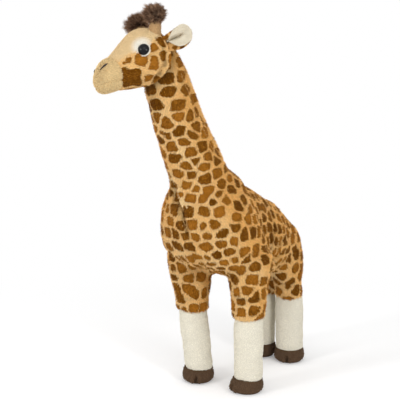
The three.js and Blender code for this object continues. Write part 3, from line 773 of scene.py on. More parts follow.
def lay_blades(name, skin, blade, comb, seed, field=None, keep=None):
    """Grows pile on a skin. blade is its length, spacing and width in mm, and its lean in degrees."""
    mesh = skin.data
    *sizes, lean_degrees = blade
    length, spacing, width = (size * MM for size in sizes)
    rng = np.random.default_rng(seed)
    points, corners = points_of(mesh), triangles_of(mesh)
    sides = points[corners]
    area = np.linalg.norm(np.cross(sides[:, 1] - sides[:, 0], sides[:, 2] - sides[:, 0]), axis=1) / 2
    weight = area if keep is None else area * keep[corners].mean(1)
    count = int(weight.sum() / spacing ** 2)
    total = np.cumsum(weight)
    picks = np.searchsorted(total, (np.arange(count) + rng.random(count)) / count * total[-1])
    picks = corners[np.minimum(picks, len(corners) - 1)]
    first, second = np.sqrt(rng.random(count)), rng.random(count)
    mix = np.stack([1 - first, first * (1 - second), first * second], 1)

    def at_root(values):
        return (values[picks] * (mix if values.ndim == 1 else mix[:, :, None])).sum(1)

    def flat(ways):
        return unit(ways - normal * (ways * normal).sum(1, keepdims=True))

    root, normal = at_root(points), unit(at_root(normals_of(mesh)))
    way = unit(flat(np.tile(comb, (count, 1))) + rng.normal(size=(count, 3)) * TOUSLE)
    way = flat(way)
    lean = np.radians(lean_degrees + rng.normal(size=(count, 1)) * LEAN_SPREAD)
    bend = lean + math.radians(BLADE_BEND)
    long = length * rng.uniform(0.75, 1.15, (count, 1))
    lower = normal * np.cos(lean) + way * np.sin(lean)
    upper = normal * np.cos(bend) + way * np.sin(bend)
    side = unit(np.cross(lower, normal) + rng.normal(size=(count, 3)) * 0.25)
    wide = side * width * rng.uniform(0.7, 1.2, (count, 1))
    middle = root + lower * long * 0.5
    tip = middle + upper * long * 0.5
    foot = root - normal * length * 0.12
    blades = np.stack([
        foot - wide / 2, foot + wide / 2, middle - wide * 0.42, middle + wide * 0.42, tip], 1)
    start = (np.arange(count) * BLADE_POINTS)[:, None, None]
    faces = (start + np.array([BLADE_FACES])).reshape(-1, 3)
    piece = mesh_piece(name, blades.reshape(-1, 3), faces)
    values = {"strand": rng.random(count)}
    if field:
        inside, tone = field(root + (tip - root) * 0.6)
        values["print"] = inside + rng.normal(size=count) * DYE_RUN
        values["tone"] = tone + rng.normal(size=count) * DYE_STREAK
    # The pale ground and the painted shade of the folds pass from the skin to its blades
    for carried in ("pale", "crushed"):
        if mesh.attributes.get(carried):
            values[carried] = at_root(get_values(mesh, carried))
    set_values(piece.data, "tip", np.tile([0, 0, 0.5, 0.5, 1], count))
    for field_name, value in values.items():
        set_values(piece.data, field_name, np.repeat(value, BLADE_POINTS))
    lay_cells(piece.data, count)
    return piece


def lay_cells(mesh, count):
    """A texture map that gives every blade a square cell of its own."""
    cells = math.ceil(math.sqrt(count))
    number = np.arange(count)
    corner = np.stack([number % cells, number // cells], 1)[:, None, :]
    places = ((corner + np.array([BLADE_CELL])) / cells).reshape(-1, 2)
    loops = array_of(mesh.loops, "vertex_index", 1, np.int32)[:, 0]
    layer = mesh.uv_layers.new(name="OFBake")
    layer.uv.foreach_set("vector", places[loops].astype(np.float32).ravel())


def finish_piece(piece, body, slot, material, replaces=(), fill=None):
    """Gives a piece its material and its body, and hides the frame's parts that it stands for."""
    mesh = piece.data
    mesh.materials.clear()
    mesh.materials.append(material)
    rest = mesh.attributes.new("rest", "FLOAT_VECTOR", "POINT")
    rest.data.foreach_set("vector", points_of(mesh).astype(np.float32).ravel())
    if body:
        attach(piece, body)
    if replaces:
        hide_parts(*replaces)


def cover(skin, pile, blade, comb, seed, finish, replaces=(), fill=None, **more):
    """Grows a skin's pile and finishes both. finish is their body, slot and material."""
    grown = lay_blades(pile, skin, blade, comb, seed, **more)
    finish_piece(skin, *finish, replaces, fill)
    finish_piece(grown, *finish)


# Materials


def new_material(name):
    material = bpy.data.materials.new(name)
    material.use_nodes = True
    tree = material.node_tree
    tree.nodes.clear()
    return material, tree


def node(tree, kind, inputs=None, output=0, **settings):
    """Adds one node with its settings and its inputs, set or linked, and returns one output."""
    made = tree.nodes.new("ShaderNode" + kind)
    for name, value in settings.items():
        setattr(made, name, value)
    for socket, value in (inputs or {}).items():
        if isinstance(value, bpy.types.NodeSocket):
            tree.links.new(value, made.inputs[socket])
        else:
            made.inputs[socket].default_value = value
    return made.outputs[output] if len(made.outputs) else made


def opaque(values):
    return (*values, 1.0)


def per_mm(millimetres):
    """A noise scale whose grains are about this size."""
    return 1 / (millimetres * MM)


# The outputs of a colour mix and of a noise or an attribute
MIXED = 2
FACTOR = "Fac"
# Painted shade at a blade's root and on the bare skin under the pile, painted light at its tip
ROOT_SHADE_LEVEL = 0.84
TIP_LIGHT_LEVEL = 1.12
STRAND_SPREAD = 0.12


def pile_surface(tree, base):
    """The fibre's own finish: matt, with painted shade at its root, painted light at its tip, and the
    faint bloom of cut pile.
    """
    tip, strand = (
        node(tree, "Attribute", output=FACTOR, attribute_name=value) for value in ("tip", "strand"))
    # Darker towards the root: painted shade of the pile's depth; lighter at the tip: painted light
    depth = node(tree, "MapRange", {0: tip, 3: ROOT_SHADE_LEVEL, 4: TIP_LIGHT_LEVEL})
    own = node(tree, "MapRange", {0: strand, 3: 1 - STRAND_SPREAD, 4: 1 + STRAND_SPREAD})
    level = node(tree, "Math", {0: depth, 1: own}, operation="MULTIPLY")
    shaded = node(tree, "VectorMath", {0: base, "Scale": level}, operation="SCALE")
    surface = node(tree, "BsdfPrincipled", {
        "Base Color": shaded, "Roughness": 0.92, "Specular IOR Level": 0.06,
        "Sheen Weight": 0.12, "Sheen Roughness": 0.45, "Sheen Tint": (1.0, 0.86, 0.66, 1.0)})
    node(tree, "OutputMaterial", {"Surface": surface})


def printed_plush(name, coat):
    """Knitted polyester plush, printed with patches: darker at their rims, where two dyes meet."""
    material, tree = new_material(name)
    inside, own_tone, pale, crushed = (
        node(tree, "Attribute", output=FACTOR, attribute_name=value)
        for value in ("print", "tone", "pale", "crushed"))
    rest = node(tree, "Attribute", output="Vector", attribute_name="rest")
    mottle = node(tree, "TexNoise", {"Vector": rest, "Scale": per_mm(14), "Detail": 3.0}, FACTOR)
    lifted = node(tree, "MapRange", {0: mottle, 3: -0.5, 4: 0.5})
    tone = node(tree, "Math", {0: own_tone, 1: lifted}, operation="ADD", use_clamp=True)
    rim = node(tree, "MapRange", {0: inside, 1: 0.0, 2: 4.0, 3: 0.45, 4: 1.0})
    toned = node(tree, "Math", {0: tone, 1: rim}, operation="MULTIPLY")
    patch = node(tree, "Mix", {
        0: toned, 6: opaque(coat.patch_dark), 7: opaque(coat.patch_light)}, MIXED, data_type="RGBA")
    ground = node(tree, "Mix", {
        0: pale, 6: opaque(coat.gold), 7: opaque(coat.cream)}, MIXED, data_type="RGBA")
    edge = node(tree, "MapRange", {0: inside, 1: -0.6, 2: 0.6}, interpolation_type="SMOOTHSTEP")
    dyed = node(tree, "Mix", {0: edge, 6: ground, 7: patch}, MIXED, data_type="RGBA")
    # Painted shade: the colour is darkened in the folds and creases that the skin marks
    fold_shade_level = node(tree, "MapRange", {0: crushed, 3: 1.0, 4: 0.42})
    pile_surface(tree, node(tree, "VectorMath", {0: dyed, "Scale": fold_shade_level}, operation="SCALE"))
    return material


def plain_plush(name, base, mottle_share=0.07, pale=None):
    """Dyed plush of one colour, which the light still mottles where the pile lies unevenly."""
    material, tree = new_material(name)
    place = node(tree, "TexCoord", output="Object")
    mottle = node(tree, "TexNoise", {"Vector": place, "Scale": per_mm(9), "Detail": 3.0}, FACTOR)
    darker = opaque([value * (1 - 2 * mottle_share) for value in base])
    dyed = node(tree, "Mix", {0: mottle, 6: darker, 7: opaque(base)}, MIXED, data_type="RGBA")
    if pale:
        share = node(tree, "Attribute", output=FACTOR, attribute_name="pale")
        dyed = node(tree, "Mix", {0: share, 6: dyed, 7: opaque(pale)}, MIXED, data_type="RGBA")
    pile_surface(tree, dyed)
    return material


def tuft_fibre(name, coat):
    """Long mohair-like fibre, dark at the root and frosted at the tip."""
    material, tree = new_material(name)
    tip, strand = (
        node(tree, "Attribute", output=FACTOR, attribute_name=value) for value in ("tip", "strand"))
    toward_tip = node(tree, "Math", {0: tip, 1: 1.3}, operation="POWER")
    frost = node(tree, "Math", {0: toward_tip, 1: strand}, operation="MULTIPLY", use_clamp=True)
    darker = opaque([value * 0.45 for value in coat.tuft])
    warm = node(tree, "Mix", {0: strand, 6: darker, 7: opaque(coat.tuft)}, MIXED, data_type="RGBA")
    pile_surface(tree, node(tree, "Mix", {
        0: frost, 6: warm, 7: opaque(coat.tuft_tip)}, MIXED, data_type="RGBA"))
    return material


def grained(name, grain, surface, colours=None, roughs=None):
    """A smooth material whose colour or roughness varies over a grain of this size in mm."""
    material, tree = new_material(name)
    place = node(tree, "TexCoord", output="Object")
    noise = node(tree, "TexNoise", {"Vector": place, "Scale": per_mm(grain), "Detail": 3.0}, FACTOR)
    if colours:
        low, high = (opaque(linear(code)) for code in colours)
        surface["Base Color"] = node(
            tree, "Mix", {0: noise, 6: low, 7: high}, MIXED, data_type="RGBA")
    if roughs:
        surface["Roughness"] = node(tree, "MapRange", {0: noise, 3: roughs[0], 4: roughs[1]})
    node(tree, "OutputMaterial", {"Surface": node(tree, "BsdfPrincipled", surface)})
    return material


# Forms of this giraffe


def body_forms(body):
    chest_foot = toy(0, -105.5, 212)
    return [
        Form(
            chest_foot, chest_foot + Vector((0, -36, 159)) * MM, LEFT, AHEAD,
            body.shoulder_width, body.shoulder_depth, SHOULDER_SHARES, 2.3),
        Form(
            toy(0, -130, 275), toy(0, 125, 203), LEFT, UP,
            body.barrel_width, body.barrel_height, BARREL_SHARES, 2.2)]


def neck_form(body):
    return Form(
        NECK_ROOT, HEAD_ROOT, NECK_LEFT, NECK_AHEAD,
        body.neck_width, body.neck_width, NECK_SHARES, 2)


Leg = namedtuple("Leg", "name side place toe_turn lean ankle")
LEGS = [
    Leg("front_left", 1, -1, -28, 3.2, 3.8),
    Leg("front_right", -1, -1, 28, -10, 3.4),
    Leg("rear_left", 1, 1, 20, -2, 0.4),
    Leg("rear_right", -1, 1, -10, 0, 0),
]
TRACKS = {-1: 98, 1: 58}
WHEELBASE = 181
HEM_HEIGHTS = {-1: 126, 1: 116}
SOCK_WIDTHS = {-1: 46.5, 1: 48}
HOOF_HEIGHT = 29
HOOF_SEAM = 25
SOCK_TUCK = 14
SEAM = 0.3


def leg_place(leg, height, ahead=0.0, lean=0.0):
    """A place on a leg's own line, in millimetres above the floor, ahead of it and aside."""
    turn = math.radians(leg.toe_turn)
    foot = toy(leg.side * TRACKS[leg.place] / 2, leg.place * WHEELBASE / 2, height)
    forward = Vector((math.sin(turn), -math.cos(turn), 0))
    return foot + (forward * ahead + LEFT * lean) * MM


def upper_leg_form(leg, body):
    foot = leg_place(leg, HEM_HEIGHTS[leg.place], lean=leg.lean)
    if leg.place < 0:
        return Form(
            foot, leg_place(leg, 248, lean=leg.lean), LEFT, AHEAD,
            body.front_leg_width, body.front_leg_depth, FRONT_LEG_SHARES, 2)
    top = leg_place(leg, 232, lean=-6 * leg.side) + AHEAD * 14 * MM
    return Form(
        foot, top, LEFT, AHEAD, body.hind_leg_width, body.hind_leg_depth, HIND_LEG_SHARES, 2)


# Seams and folds of the coat, as places in millimetres from the middle of the feet
CHEST_FOLD = [(-24, -201, 366), (-20, -195, 338), (-2, -203, 316), (5, -202, 290), (4, -198, 268)]
CHEST_STRIP = [(-24, -194, 372), (-22, -195, 355), (-11, -196, 339), (5, -200, 321)]
FLANK_SEAM = [(34, -66, 338), (42, -63, 320), (56, -67, 299), (64, -62, 267), (62, -50, 233)]
NAPE_SEAM = [(-3, -212, 527), (3, -200, 501), (13, -190, 470), (22, -175, 438), (32, -156, 398)]
HAUNCH_FOLD = [(66, -42, 262), (66, -36, 238), (67, -34, 214), (60, -36, 188)]
CHEST_FOLD_LEFT = [(-34, -196, 368), (-30, -196, 345), (-14, -204, 318), (-4, -204, 300)]
HAUNCH_WRINKLES = [
    [(66, -38, 244), (64, -22, 264), (60, -8, 280)],
    [(66, -36, 236), (62, -10, 252), (57, 12, 264)],
    [(67, -34, 226), (62, -2, 234), (57, 26, 242)],
    [(66, -34, 214), (60, 0, 212), (54, 34, 214)],
    [(64, -36, 204), (56, 0, 194), (50, 30, 188)],
]
HEM_FOLDS = [
    [(40, -120, 167), (52, -120, 164), (66, -114, 163), (80, -88, 168)],
    [(-74, -112, 150), (-56, -122, 145), (-40, -112, 148)],
    [(20, 60, 150), (40, 58, 143), (56, 72, 146)],
]
HEM_PUFF = [(34, -112, 148), (52, -122, 146), (72, -112, 146), (82, -90, 150)]
LEG_TOP = [(-80, -130, 234), (-62, -126, 214), (-42, -132, 206), (-12, -126, 206)]

# Each crease: its line, depth and width in millimetres, swell beside it and fade at its ends
CREASES = [
    (CHEST_FOLD, 6.5, 3.4, 0.45, 0.25),
    (CHEST_FOLD_LEFT, 3.5, 3.0, 0.35, 0.15),
    (FLANK_SEAM, 1.3, 2.4, 0.35, 0.15),
    (NAPE_SEAM, 1.0, 2.2, 0.35, 0.15),
    (HAUNCH_FOLD, 4.6, 4.4, 0.35, 0.15),
    *[(line, 2.6, 2.6, 0.35, 0.35) for line in HAUNCH_WRINKLES],
    *[(line, 2.8, 3.0, 0.35, 0.25) for line in HEM_FOLDS],
]
# Where the coat is fuller than its forms: height and width in millimetres, then the line
WITHERS_TO_HEMS = [
    (7, 26, [(0, -132, 368), (8, -104, 352), (12, -62, 330), (12, -10, 308), (8, 34, 290)]),
    (5.6, 17, [(33, -146, 382), (35, -117, 361), (35, -93, 345)]),
    (3, 18, [(22, 34, 292), (31, 51, 272)]),
    (2.5, 18, [(43, 98, 235), (45, 100, 205), (44, 98, 172)]),
    (2, 14, [(-52, -173, 334), (-63, -165, 317)]),
    (4, 16, [(-60, -169, 264), (-66, -158, 249), (-80, -136, 236)]),
    (2.5, 12, [(-79, -113, 158), (-75, -111, 143)]),
]
ELBOW = (6, 26, [(-80, -120, 300), (-84, -112, 250), (-80, -108, 205), (-78, -108, 185)])
# On the neck a line stands at one place aside and ahead, at several heights above the neck's root
NECK_SWELLS = [
    (4, 20, (0, -26), (168, 190, 215, 240)),
    (4, 17, (21, -13), (165, 190, 215, 240)),
    (8, 15, (17, -24), (192, 210, 226)),
    (2.3, 22, (-20, 22), (125, 150, 175, 195)),
]
COAT_VOXEL = 4 * MM
COAT_INSET = 1.9 * MM
COAT_SWELL_CAP = 5 * MM
FRONT_RIGHT_DROP = 3.6 * MM
HEM_WAVE = 1.6 * MM
HEAD_OVER_NECK = 75 * MM
NECK_PILE_FOOT = (24 * MM, 30 * MM)
LEG_PILE_TOP = (0.19, 0.2)
PRINTED = "knitted plush, printed"
FUR = "mohair-like fibre, dark"
MANE_TURN = 30
TOE_CLEFT = ((-6, 22), (0, 26), (6, 29), (12, 29.5), (19, 28))


def places(line):
    return [toy(*place) for place in line]


def up_the_neck(points):
    """How far up the neck each point lies, from the neck's root."""
    return (points - np.array(NECK_ROOT)) @ np.array(NECK_UP)


def hang_hems(skin):
    """Lets the turned hems hang unevenly, and the front right one lower than the rest."""
    points = points_of(skin.data)
    near_hem = smooth_step(165 * MM, 135 * MM, points[:, 2])
    drop = ripple(points, 42 * MM, SEED + 9) * HEM_WAVE
    spot = toy(0, -40, 0)
    front_right = (points[:, 0] < spot.x) & (points[:, 1] < spot.y)
    points[:, 2] -= near_hem * (drop + FRONT_RIGHT_DROP * front_right)
    move_points(skin.data, points)


def tuck_under_head(skin, head):
    """Draws the neck in where the head sits over it, and paints the shade of the crease at the cheek."""
    points, faces = loft(head_form(head))
    tree = BVHTree.FromPolygons([Vector(p) for p in points], faces.tolist())
    skin_points = points_of(skin.data)
    push = np.zeros(len(skin_points))
    for number in np.nonzero(up_the_neck(skin_points) > NECK_LENGTH - HEAD_OVER_NECK)[0]:
        gap = tree.find_nearest(Vector(skin_points[number]))[3]
        push[number] = math.exp(-((gap / (8 * MM)) ** 2))
    push_out(skin.data, push * -3.0 * MM)
    # Painted shade: the neck is darkened in the crease under the cheek
    set_values(skin.data, "crushed", 0.95 * push)


def shape_coat(body, head):
    forms = [*body_forms(body), neck_form(body), *[upper_leg_form(leg, body) for leg in LEGS]]
    skin = stuffed("coat", forms, COAT_VOXEL, 5)
    mesh = skin.data
    points = points_of(mesh)
    hold = bell(up_the_neck(points) - 24 * MM, 26 * MM)
    hold = np.clip(hold + bell(points[:, 2] - 205 * MM, 26 * MM) * 0.2, 0, 1)
    move_points(mesh, relaxed(points, edges_of(mesh), 14, hold=hold, keep_size=False))
    for height, width, line in WITHERS_TO_HEMS:
        fill_line(skin, places(line), height, width)
    soften(skin, places(LEG_TOP), 24 * MM, 60)
    height, width, line = ELBOW
    fill_line(skin, places(line), height, width)
    for height, width, (aside, ahead), rises in NECK_SWELLS:
        way = (NECK_LEFT * aside + NECK_AHEAD * ahead) * MM
        line = [NECK_ROOT + NECK_UP * rise * MM + way for rise in rises]
        fill_line(skin, line, height, width)
    push_out(mesh, -COAT_INSET)
    fill_out(skin, [(places(line), 5 * MM) for line in (
        CHEST_FOLD, FLANK_SEAM, HAUNCH_FOLD, *HAUNCH_WRINKLES, *HEM_FOLDS)], COAT_SWELL_CAP)
    divided(skin)
    fill_line(skin, places(HEM_PUFF), 2.2, 9)
    for line, depth, width, beside, fade in CREASES:
        crease(skin, places(line), depth, width, beside, fade)
    hang_hems(skin)
    tuck_under_head(skin, head)
    # Painted shade along the chest, haunch, wrinkle and hem folds
    paint_fold_shade(skin, [
        (places(CHEST_FOLD), 0.9), (places(CHEST_FOLD_LEFT), 0.6), (places(HAUNCH_FOLD), 0.8),
        *[(places(line), 0.45) for line in (*HAUNCH_WRINKLES, *HEM_FOLDS)]], 2.4 * MM)
    points = points_of(skin.data)
    uneven = ripple(points, 48 * MM, SEED) * 0.8 * MM + ripple(points, 17 * MM, SEED + 1) * 0.25 * MM
    push_out(skin.data, uneven)
    return skin


def sew_coat(body, head, coat):
    skin = shape_coat(body, head)
    mesh = skin.data
    points, normals = points_of(mesh), normals_of(mesh)
    rise = up_the_neck(points)
    haunch = bell(gaps_to(points, toy(62, -6, 232)), 34 * MM)
    pitch = coat.patch_pitch * (1 + 0.16 * smooth_step(0, 60 * MM, rise)) * (1 - 0.12 * haunch)

    def along_neck(spots):
        height = np.maximum(up_the_neck(spots), 0)
        return spots + height[:, None] * 0.28 * np.array(NECK_UP)

    printed = lay_print(
        skin, pitch, coat.lane_width, SEED, stretch=along_neck,
        seams=[laid_on(skin, places(line)) for line in (FLANK_SEAM, NAPE_SEAM, CHEST_STRIP)])
    pale = 0.42 * smooth_step(0.2, 0.98, normals @ np.array((0.2, -0.97, -0.1)))
    pale += 0.3 * smooth_step(0.1, -0.9, normals[:, 2])
    pale += 0.8 * bell(near_line(skin, places(CHEST_STRIP))[0], 8 * MM)
    set_values(mesh, "pale", np.clip(pale + 0.16 * ripple(points, 50 * MM, SEED + 3), 0, 1))
    cloth = printed_plush(PRINTED, coat)
    on_neck, on_body = (smooth_step(*NECK_PILE_FOOT[::way], rise) for way in (1, -1))
    above, below = (smooth_step(*LEG_PILE_TOP[::way], points[:, 2]) for way in (1, -1))
    pieces = [skin]
    blade = (coat.pile_length / MM, coat.pile_spacing / MM, 1.05, 54)
    for number, (name, keep) in enumerate((
            ("body", on_body * above), ("neck", on_neck), ("legs", below * on_body))):
        pieces.append(lay_blades(
            f"coat_pile_{name}", skin, blade, (0, 0.25, -1), SEED + number, printed, keep))
    for piece in pieces:
        finish_piece(piece, None, "plush", cloth)
        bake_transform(piece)
    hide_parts("torso", "neck", *[f"{leg.name}_leg" for leg in LEGS])


class GIRAFFE_OT_coat(bpy.types.Operator):
    """Sew the printed skin of the torso, the neck and the upper legs, with its pile"""

    bl_idname = "giraffe.coat"
    bl_label = "Coat"

    def execute(self, context):
        scene = context.scene
        sew_coat(scene.giraffe_body, scene.giraffe_head, scene.giraffe_coat)
        return {"FINISHED"}


class GIRAFFE_OT_mane(bpy.types.Operator):
    """Sew the narrow mane along the back of the neck"""

    bl_idname = "giraffe.mane"
    bl_label = "Mane"

    def execute(self, context):
        neck, coat = neck_form(context.scene.giraffe_body), context.scene.giraffe_coat
        out = Matrix.Rotation(math.radians(-MANE_TURN), 3, NECK_UP) @ -NECK_AHEAD
        foot, crown = (form_point(neck, along, 270 + MANE_TURN) for along in (0.1, 1.0))
        form = Form(
            foot + out * 0.6 * MM, crown + out * 4.5 * MM + NECK_UP * 10 * MM,
            NECK_UP.cross(out), out, 12 * MM, 11.5 * MM, MANE_SHARES, 2)
        skin = stuffed("mane_plush", [form], 1.2 * MM, 8)
        printed = lay_print(skin, coat.patch_pitch, coat.lane_width * 4, SEED + 11)
        set_values(skin.data, "pale", 0.1)
        cover(
            skin, "mane_pile", (coat.pile_length / MM * 0.9, 1.4, 0.9, 52), -NECK_UP, SEED + 12,
            ("neck", "plush", bpy.data.materials[PRINTED]), ["mane"], 0.7, field=printed)
        return {"FINISHED"}


def sew_lower_leg(leg, sock_cloth, hoof_cloth):
    hem = HEM_HEIGHTS[leg.place]
    lean_top = leg.lean + (leg.lean - leg.ankle) * SOCK_TUCK / (hem - HOOF_HEIGHT)
    width = SOCK_WIDTHS[leg.place] * MM
    sock_form = Form(
        leg_place(leg, HOOF_SEAM - 1.2, lean=leg.ankle),
        leg_place(leg, hem + SOCK_TUCK, lean=lean_top), LEFT, AHEAD, width, width, SOCK_SHARES, 2)
    sock = stuffed(f"{leg.name}_sock_plush", [sock_form], 2 * MM, 6)
    stretched = points_of(sock.data) * np.array((1, 1, 2.2))
    push_out(sock.data, ripple(stretched, 34 * MM, SEED + len(leg.name)) * 0.45 * MM)
    cover(
        sock, f"{leg.name}_sock_nap", (1.7, 1.55, 0.9, 62), -UP, SEED + 20,
        ("body", "sock_plush", sock_cloth), [f"{leg.name}_sock"], 0.9)

    turn = math.radians(leg.toe_turn)
    ahead = Vector((math.sin(turn), -math.cos(turn), 0))
    across = Vector((math.cos(turn), math.sin(turn), 0))
    lean = leg.ankle / 2
    hoof_form = Form(
        leg_place(leg, 2.5 + SEAM, 1.5, lean), leg_place(leg, HOOF_SEAM, 1.5, lean),
        across, ahead, 52 * MM, 53 * MM, HOOF_SHARES, 2.2)
    hoof = stuffed(f"{leg.name}_hoof_plush", [hoof_form], 1.4 * MM, 10)
    toe = [leg_place(leg, height, reach) for height, reach in TOE_CLEFT]
    crease(hoof, toe, 9, 2.3, fade=0.3)
    finish = ("body", "hoof_plush", hoof_cloth)
    cover(
        hoof, f"{leg.name}_hoof_nap", (2.6, 1.45, 1.0, 50), -UP, SEED + 21, finish,
        [f"{leg.name}_hoof"], 0.9, keep=smooth_step(3.5 * MM, 6 * MM, points_of(hoof.data)[:, 2]))
    sole_form = Form(
        leg_place(leg, 0.3, 0.5, lean), leg_place(leg, 3.2, 0.5, lean), across, ahead,
        44 * MM, 44 * MM, SOLE_SHARES, 2)
    sole = mesh_piece(f"{leg.name}_sole_plush", *loft(sole_form, 9, 64))
    finish_piece(sole, *finish, [f"{leg.name}_sole"])


class GIRAFFE_OT_lower_legs(bpy.types.Operator):
    """Sew the four socks, hooves and soles"""

    bl_idname = "giraffe.lower_legs"
    bl_label = "Lower legs"

    def execute(self, context):
        coat = context.scene.giraffe_coat
        # Knitted velboa: its short dense nap is an even, matt, warm white
        sock = plain_plush("short-pile velboa, cream", coat.sock, 0.03)
        # Plush dyed dark: the light catches only its tips, so it looks mottled
        hoof = plain_plush("short-pile plush, brown", coat.hoof, 0.16)
        for leg in LEGS:
            sew_lower_leg(leg, sock, hoof)
        return {"FINISHED"}


HEAD_BACK = -20 * MM
HEAD_RISE = 22 * MM
MUZZLE_TUCK = 12 * MM
MUZZLE_RISE = 6 * MM
MOUTH_RISE = -7 * MM


def head_form(head):
    return Form(
        head_point(0, HEAD_BACK, HEAD_RISE), head_point(0, head.length + HEAD_BACK, HEAD_RISE),
        HEAD_LEFT, HEAD_UP, head.width, head.height, HEAD_SHARES, 2)


def muzzle_form(head):
    start = head.length + HEAD_BACK - MUZZLE_TUCK
    return Form(
        head_point(0, start, MUZZLE_RISE), head_point(0, start + head.muzzle_length, MUZZLE_RISE),
        HEAD_LEFT, HEAD_UP, head.muzzle_width, head.muzzle_height, MUZZLE_SHARES, 2)


def on_skin(tree, form, along, degrees):
    """Where a ray from a form's own line meets a skin, with the skin's outward direction there."""
    angle = math.radians(degrees)
    way = form.across * math.cos(angle) + form.fore * math.sin(angle)
    outside = form.start.lerp(form.end, along) + way * 0.12
    return tree.ray_cast(outside, -way)[:2]


def mirrored(degrees, side):
    """An angle round a form, counted from its left, on one of its sides."""
    return degrees if side > 0 else 180 - degrees


def on_cheek(side, spots):
    return [head_point(side * left * MM, ahead * MM, above * MM) for left, ahead, above in spots]


# The face panel's edge: shares along the head, and degrees round it from its side
FACE_EDGE_SHARES = [
    (0.13, 46), (0.2, 36), (0.29, 29), (0.36, 23), (0.42, 14), (0.47, 5), (0.54, 1), (0.6, 4), (0.66, 7),
    (0.71, 7), (0.76, 4), (0.81, -1), (0.86, -6), (0.91, -11), (0.96, -14),
]
# Large patches of the cheek, in millimetres aside, ahead and above the head's root, after their
# growth. Those in one row print as one shape.
CHEEK_PATCHES = [
    (1.5, [(33, 46, 15), (35, 39, 17)]),
    (1.5, [(36, 17, 30)]),
    (1.4, [(35, 22, 7)]),
    (1.5, [(27, 69, 9), (24, 70, -4), (26, 57, -2), (17, 60, -13), (16, 46, -16)]),
    (0.8, [(26, 66, 17), (28, 60, 20)]),
    (0.8, [(22, 32, -12)]),
    (0.9, [(36, 4, 14)]),
    (0.02, [(26, 66, 29)]),
    (0.02, [(24, 77, 22)]),
    (0.02, [(29, 7, -5)]),
]
CHEEK_FOLD = [(36, 4, 34), (38, 0, 20), (35, 3, 4), (28, 14, -10), (16, 26, -19)]
THREADS, THREAD_STEPS, THREAD_SIDES = 22, 9, 6
THREAD_FOOT = ((3, 2, 1, 0), (0, 5, 4, 3))
DOME_RINGS, DOME_SIDES = 24, 64
RIM_ROUND, RIM_SIDES = 72, 14
RIM_TUBE = 0.85 * MM
RIM_GAP = 0.5 * MM
RIM_LIFT = 0.4 * MM
EYE_ALONG, EYE_ROUND, EYE_TURN = 0.52, 12, 22
NOSTRIL_ALONG, NOSTRIL_ROUND = 0.72, 36
NOSTRIL_LENGTH = 14 * MM
THREAD_RADIUS = 0.42 * MM
THREAD_LIFT, THREAD_BOW = 0.9 * MM, 0.5 * MM
PANEL_ROWS, PANEL_COLUMNS = 90, 120
PANEL_PROUD, PANEL_TURN, PANEL_ROOT = 1.5, 2.3, 1.6


def sew_face_panel(head, skin):
    """The pale panel: a patch laid over the brow, its edges turned under."""
    form = head_form(head)
    tree = skin_tree(skin)
    edge = np.array(FACE_EDGE_SHARES)
    outer, inner = np.empty((2, PANEL_ROWS, PANEL_COLUMNS, 3))
    for row, along in enumerate(np.linspace(edge[0, 0], edge[-1, 0], PANEL_ROWS)):
        low = np.interp(along, edge[:, 0], edge[:, 1])
        near_end = max(0.0, 1 - min(row, PANEL_ROWS - 1 - row) / 3) ** 2
        for column, part in enumerate(np.linspace(-1, 1, PANEL_COLUMNS)):
            place, normal = on_skin(tree, form, along, 90 - part * (90 - low))
            rim = max(abs(part) ** 14, near_end)
            outer[row, column] = place + normal * (PANEL_PROUD - PANEL_TURN * rim) * MM
            inner[row, column] = place - normal * PANEL_ROOT * MM
    return slab("face_panel_plush", outer, inner, 3)


def sew_head(head, coat):
    form = head_form(head)
    skin = stuffed("head_plush", [form], 1.6 * MM, 12)
    mesh = skin.data
    tree = skin_tree(skin)
    eyes = {}
    for name, side in SIDES.items():
        place, normal = on_skin(tree, form, EYE_ALONG, mirrored(EYE_ROUND, side))
        out = Matrix.Rotation(math.radians(EYE_TURN) * -side, 3, HEAD_UP) @ normal
        eyes[name] = place, out.normalized()
    points = points_of(mesh)
    push_out(mesh, sum(bell(gaps_to(points, place), 9 * MM) for place, _ in eyes.values()) * -2.2 * MM)
    for side in SIDES.values():
        fold = on_cheek(side, CHEEK_FOLD)
        crease(skin, fold, 5.0, 3.4, swell=0.2, fade=0.25)
        # Painted shade in the cheek fold
        paint_fold_shade(skin, [(fold, 0.95)], 2.6 * MM)
    cheeks = [
        (larger, on_cheek(side, patch)) for side in SIDES.values() for larger, patch in CHEEK_PATCHES]
    printed = lay_print(skin, coat.patch_pitch, coat.lane_width * 0.9, SEED + 33, placed=cheeks)
    set_values(mesh, "pale", 0.42)
    panel = sew_face_panel(head, skin)
    points = points_of(panel.data)
    brow = np.zeros(len(points))
    for place, _ in eyes.values():
        gap = gaps_to(points, place + HEAD_UP * 5 * MM + HEAD_AHEAD * 1 * MM)
        brow = np.maximum(brow, smooth_step(21 * MM, 8 * MM, gap))
    set_values(panel.data, "pale", brow)
    back = -HEAD_AHEAD
    cover(
        skin, "head_pile", (coat.pile_length / MM * 0.75, 1.3, 0.9, 58), back, SEED + 31,
        ("head", "plush", bpy.data.materials[PRINTED]), ["head"], 0.9, field=printed)
    outside = (normals_of(panel.data) * (points - np.array(head_point(0, 0.04, 0.01)))).sum(1)
    # Plush dyed pale: soft and even, and whiter where the panel runs up over the brow
    face = plain_plush("short-pile plush, pale cream", coat.face, 0.05, pale=coat.brow)
    cover(
        panel, "face_panel_pile", (1.9, 1.3, 0.9, 62), back, SEED + 32,
        ("head", "face_plush", face), ["face_panel"], keep=(outside > 0).astype(float))
    return eyes


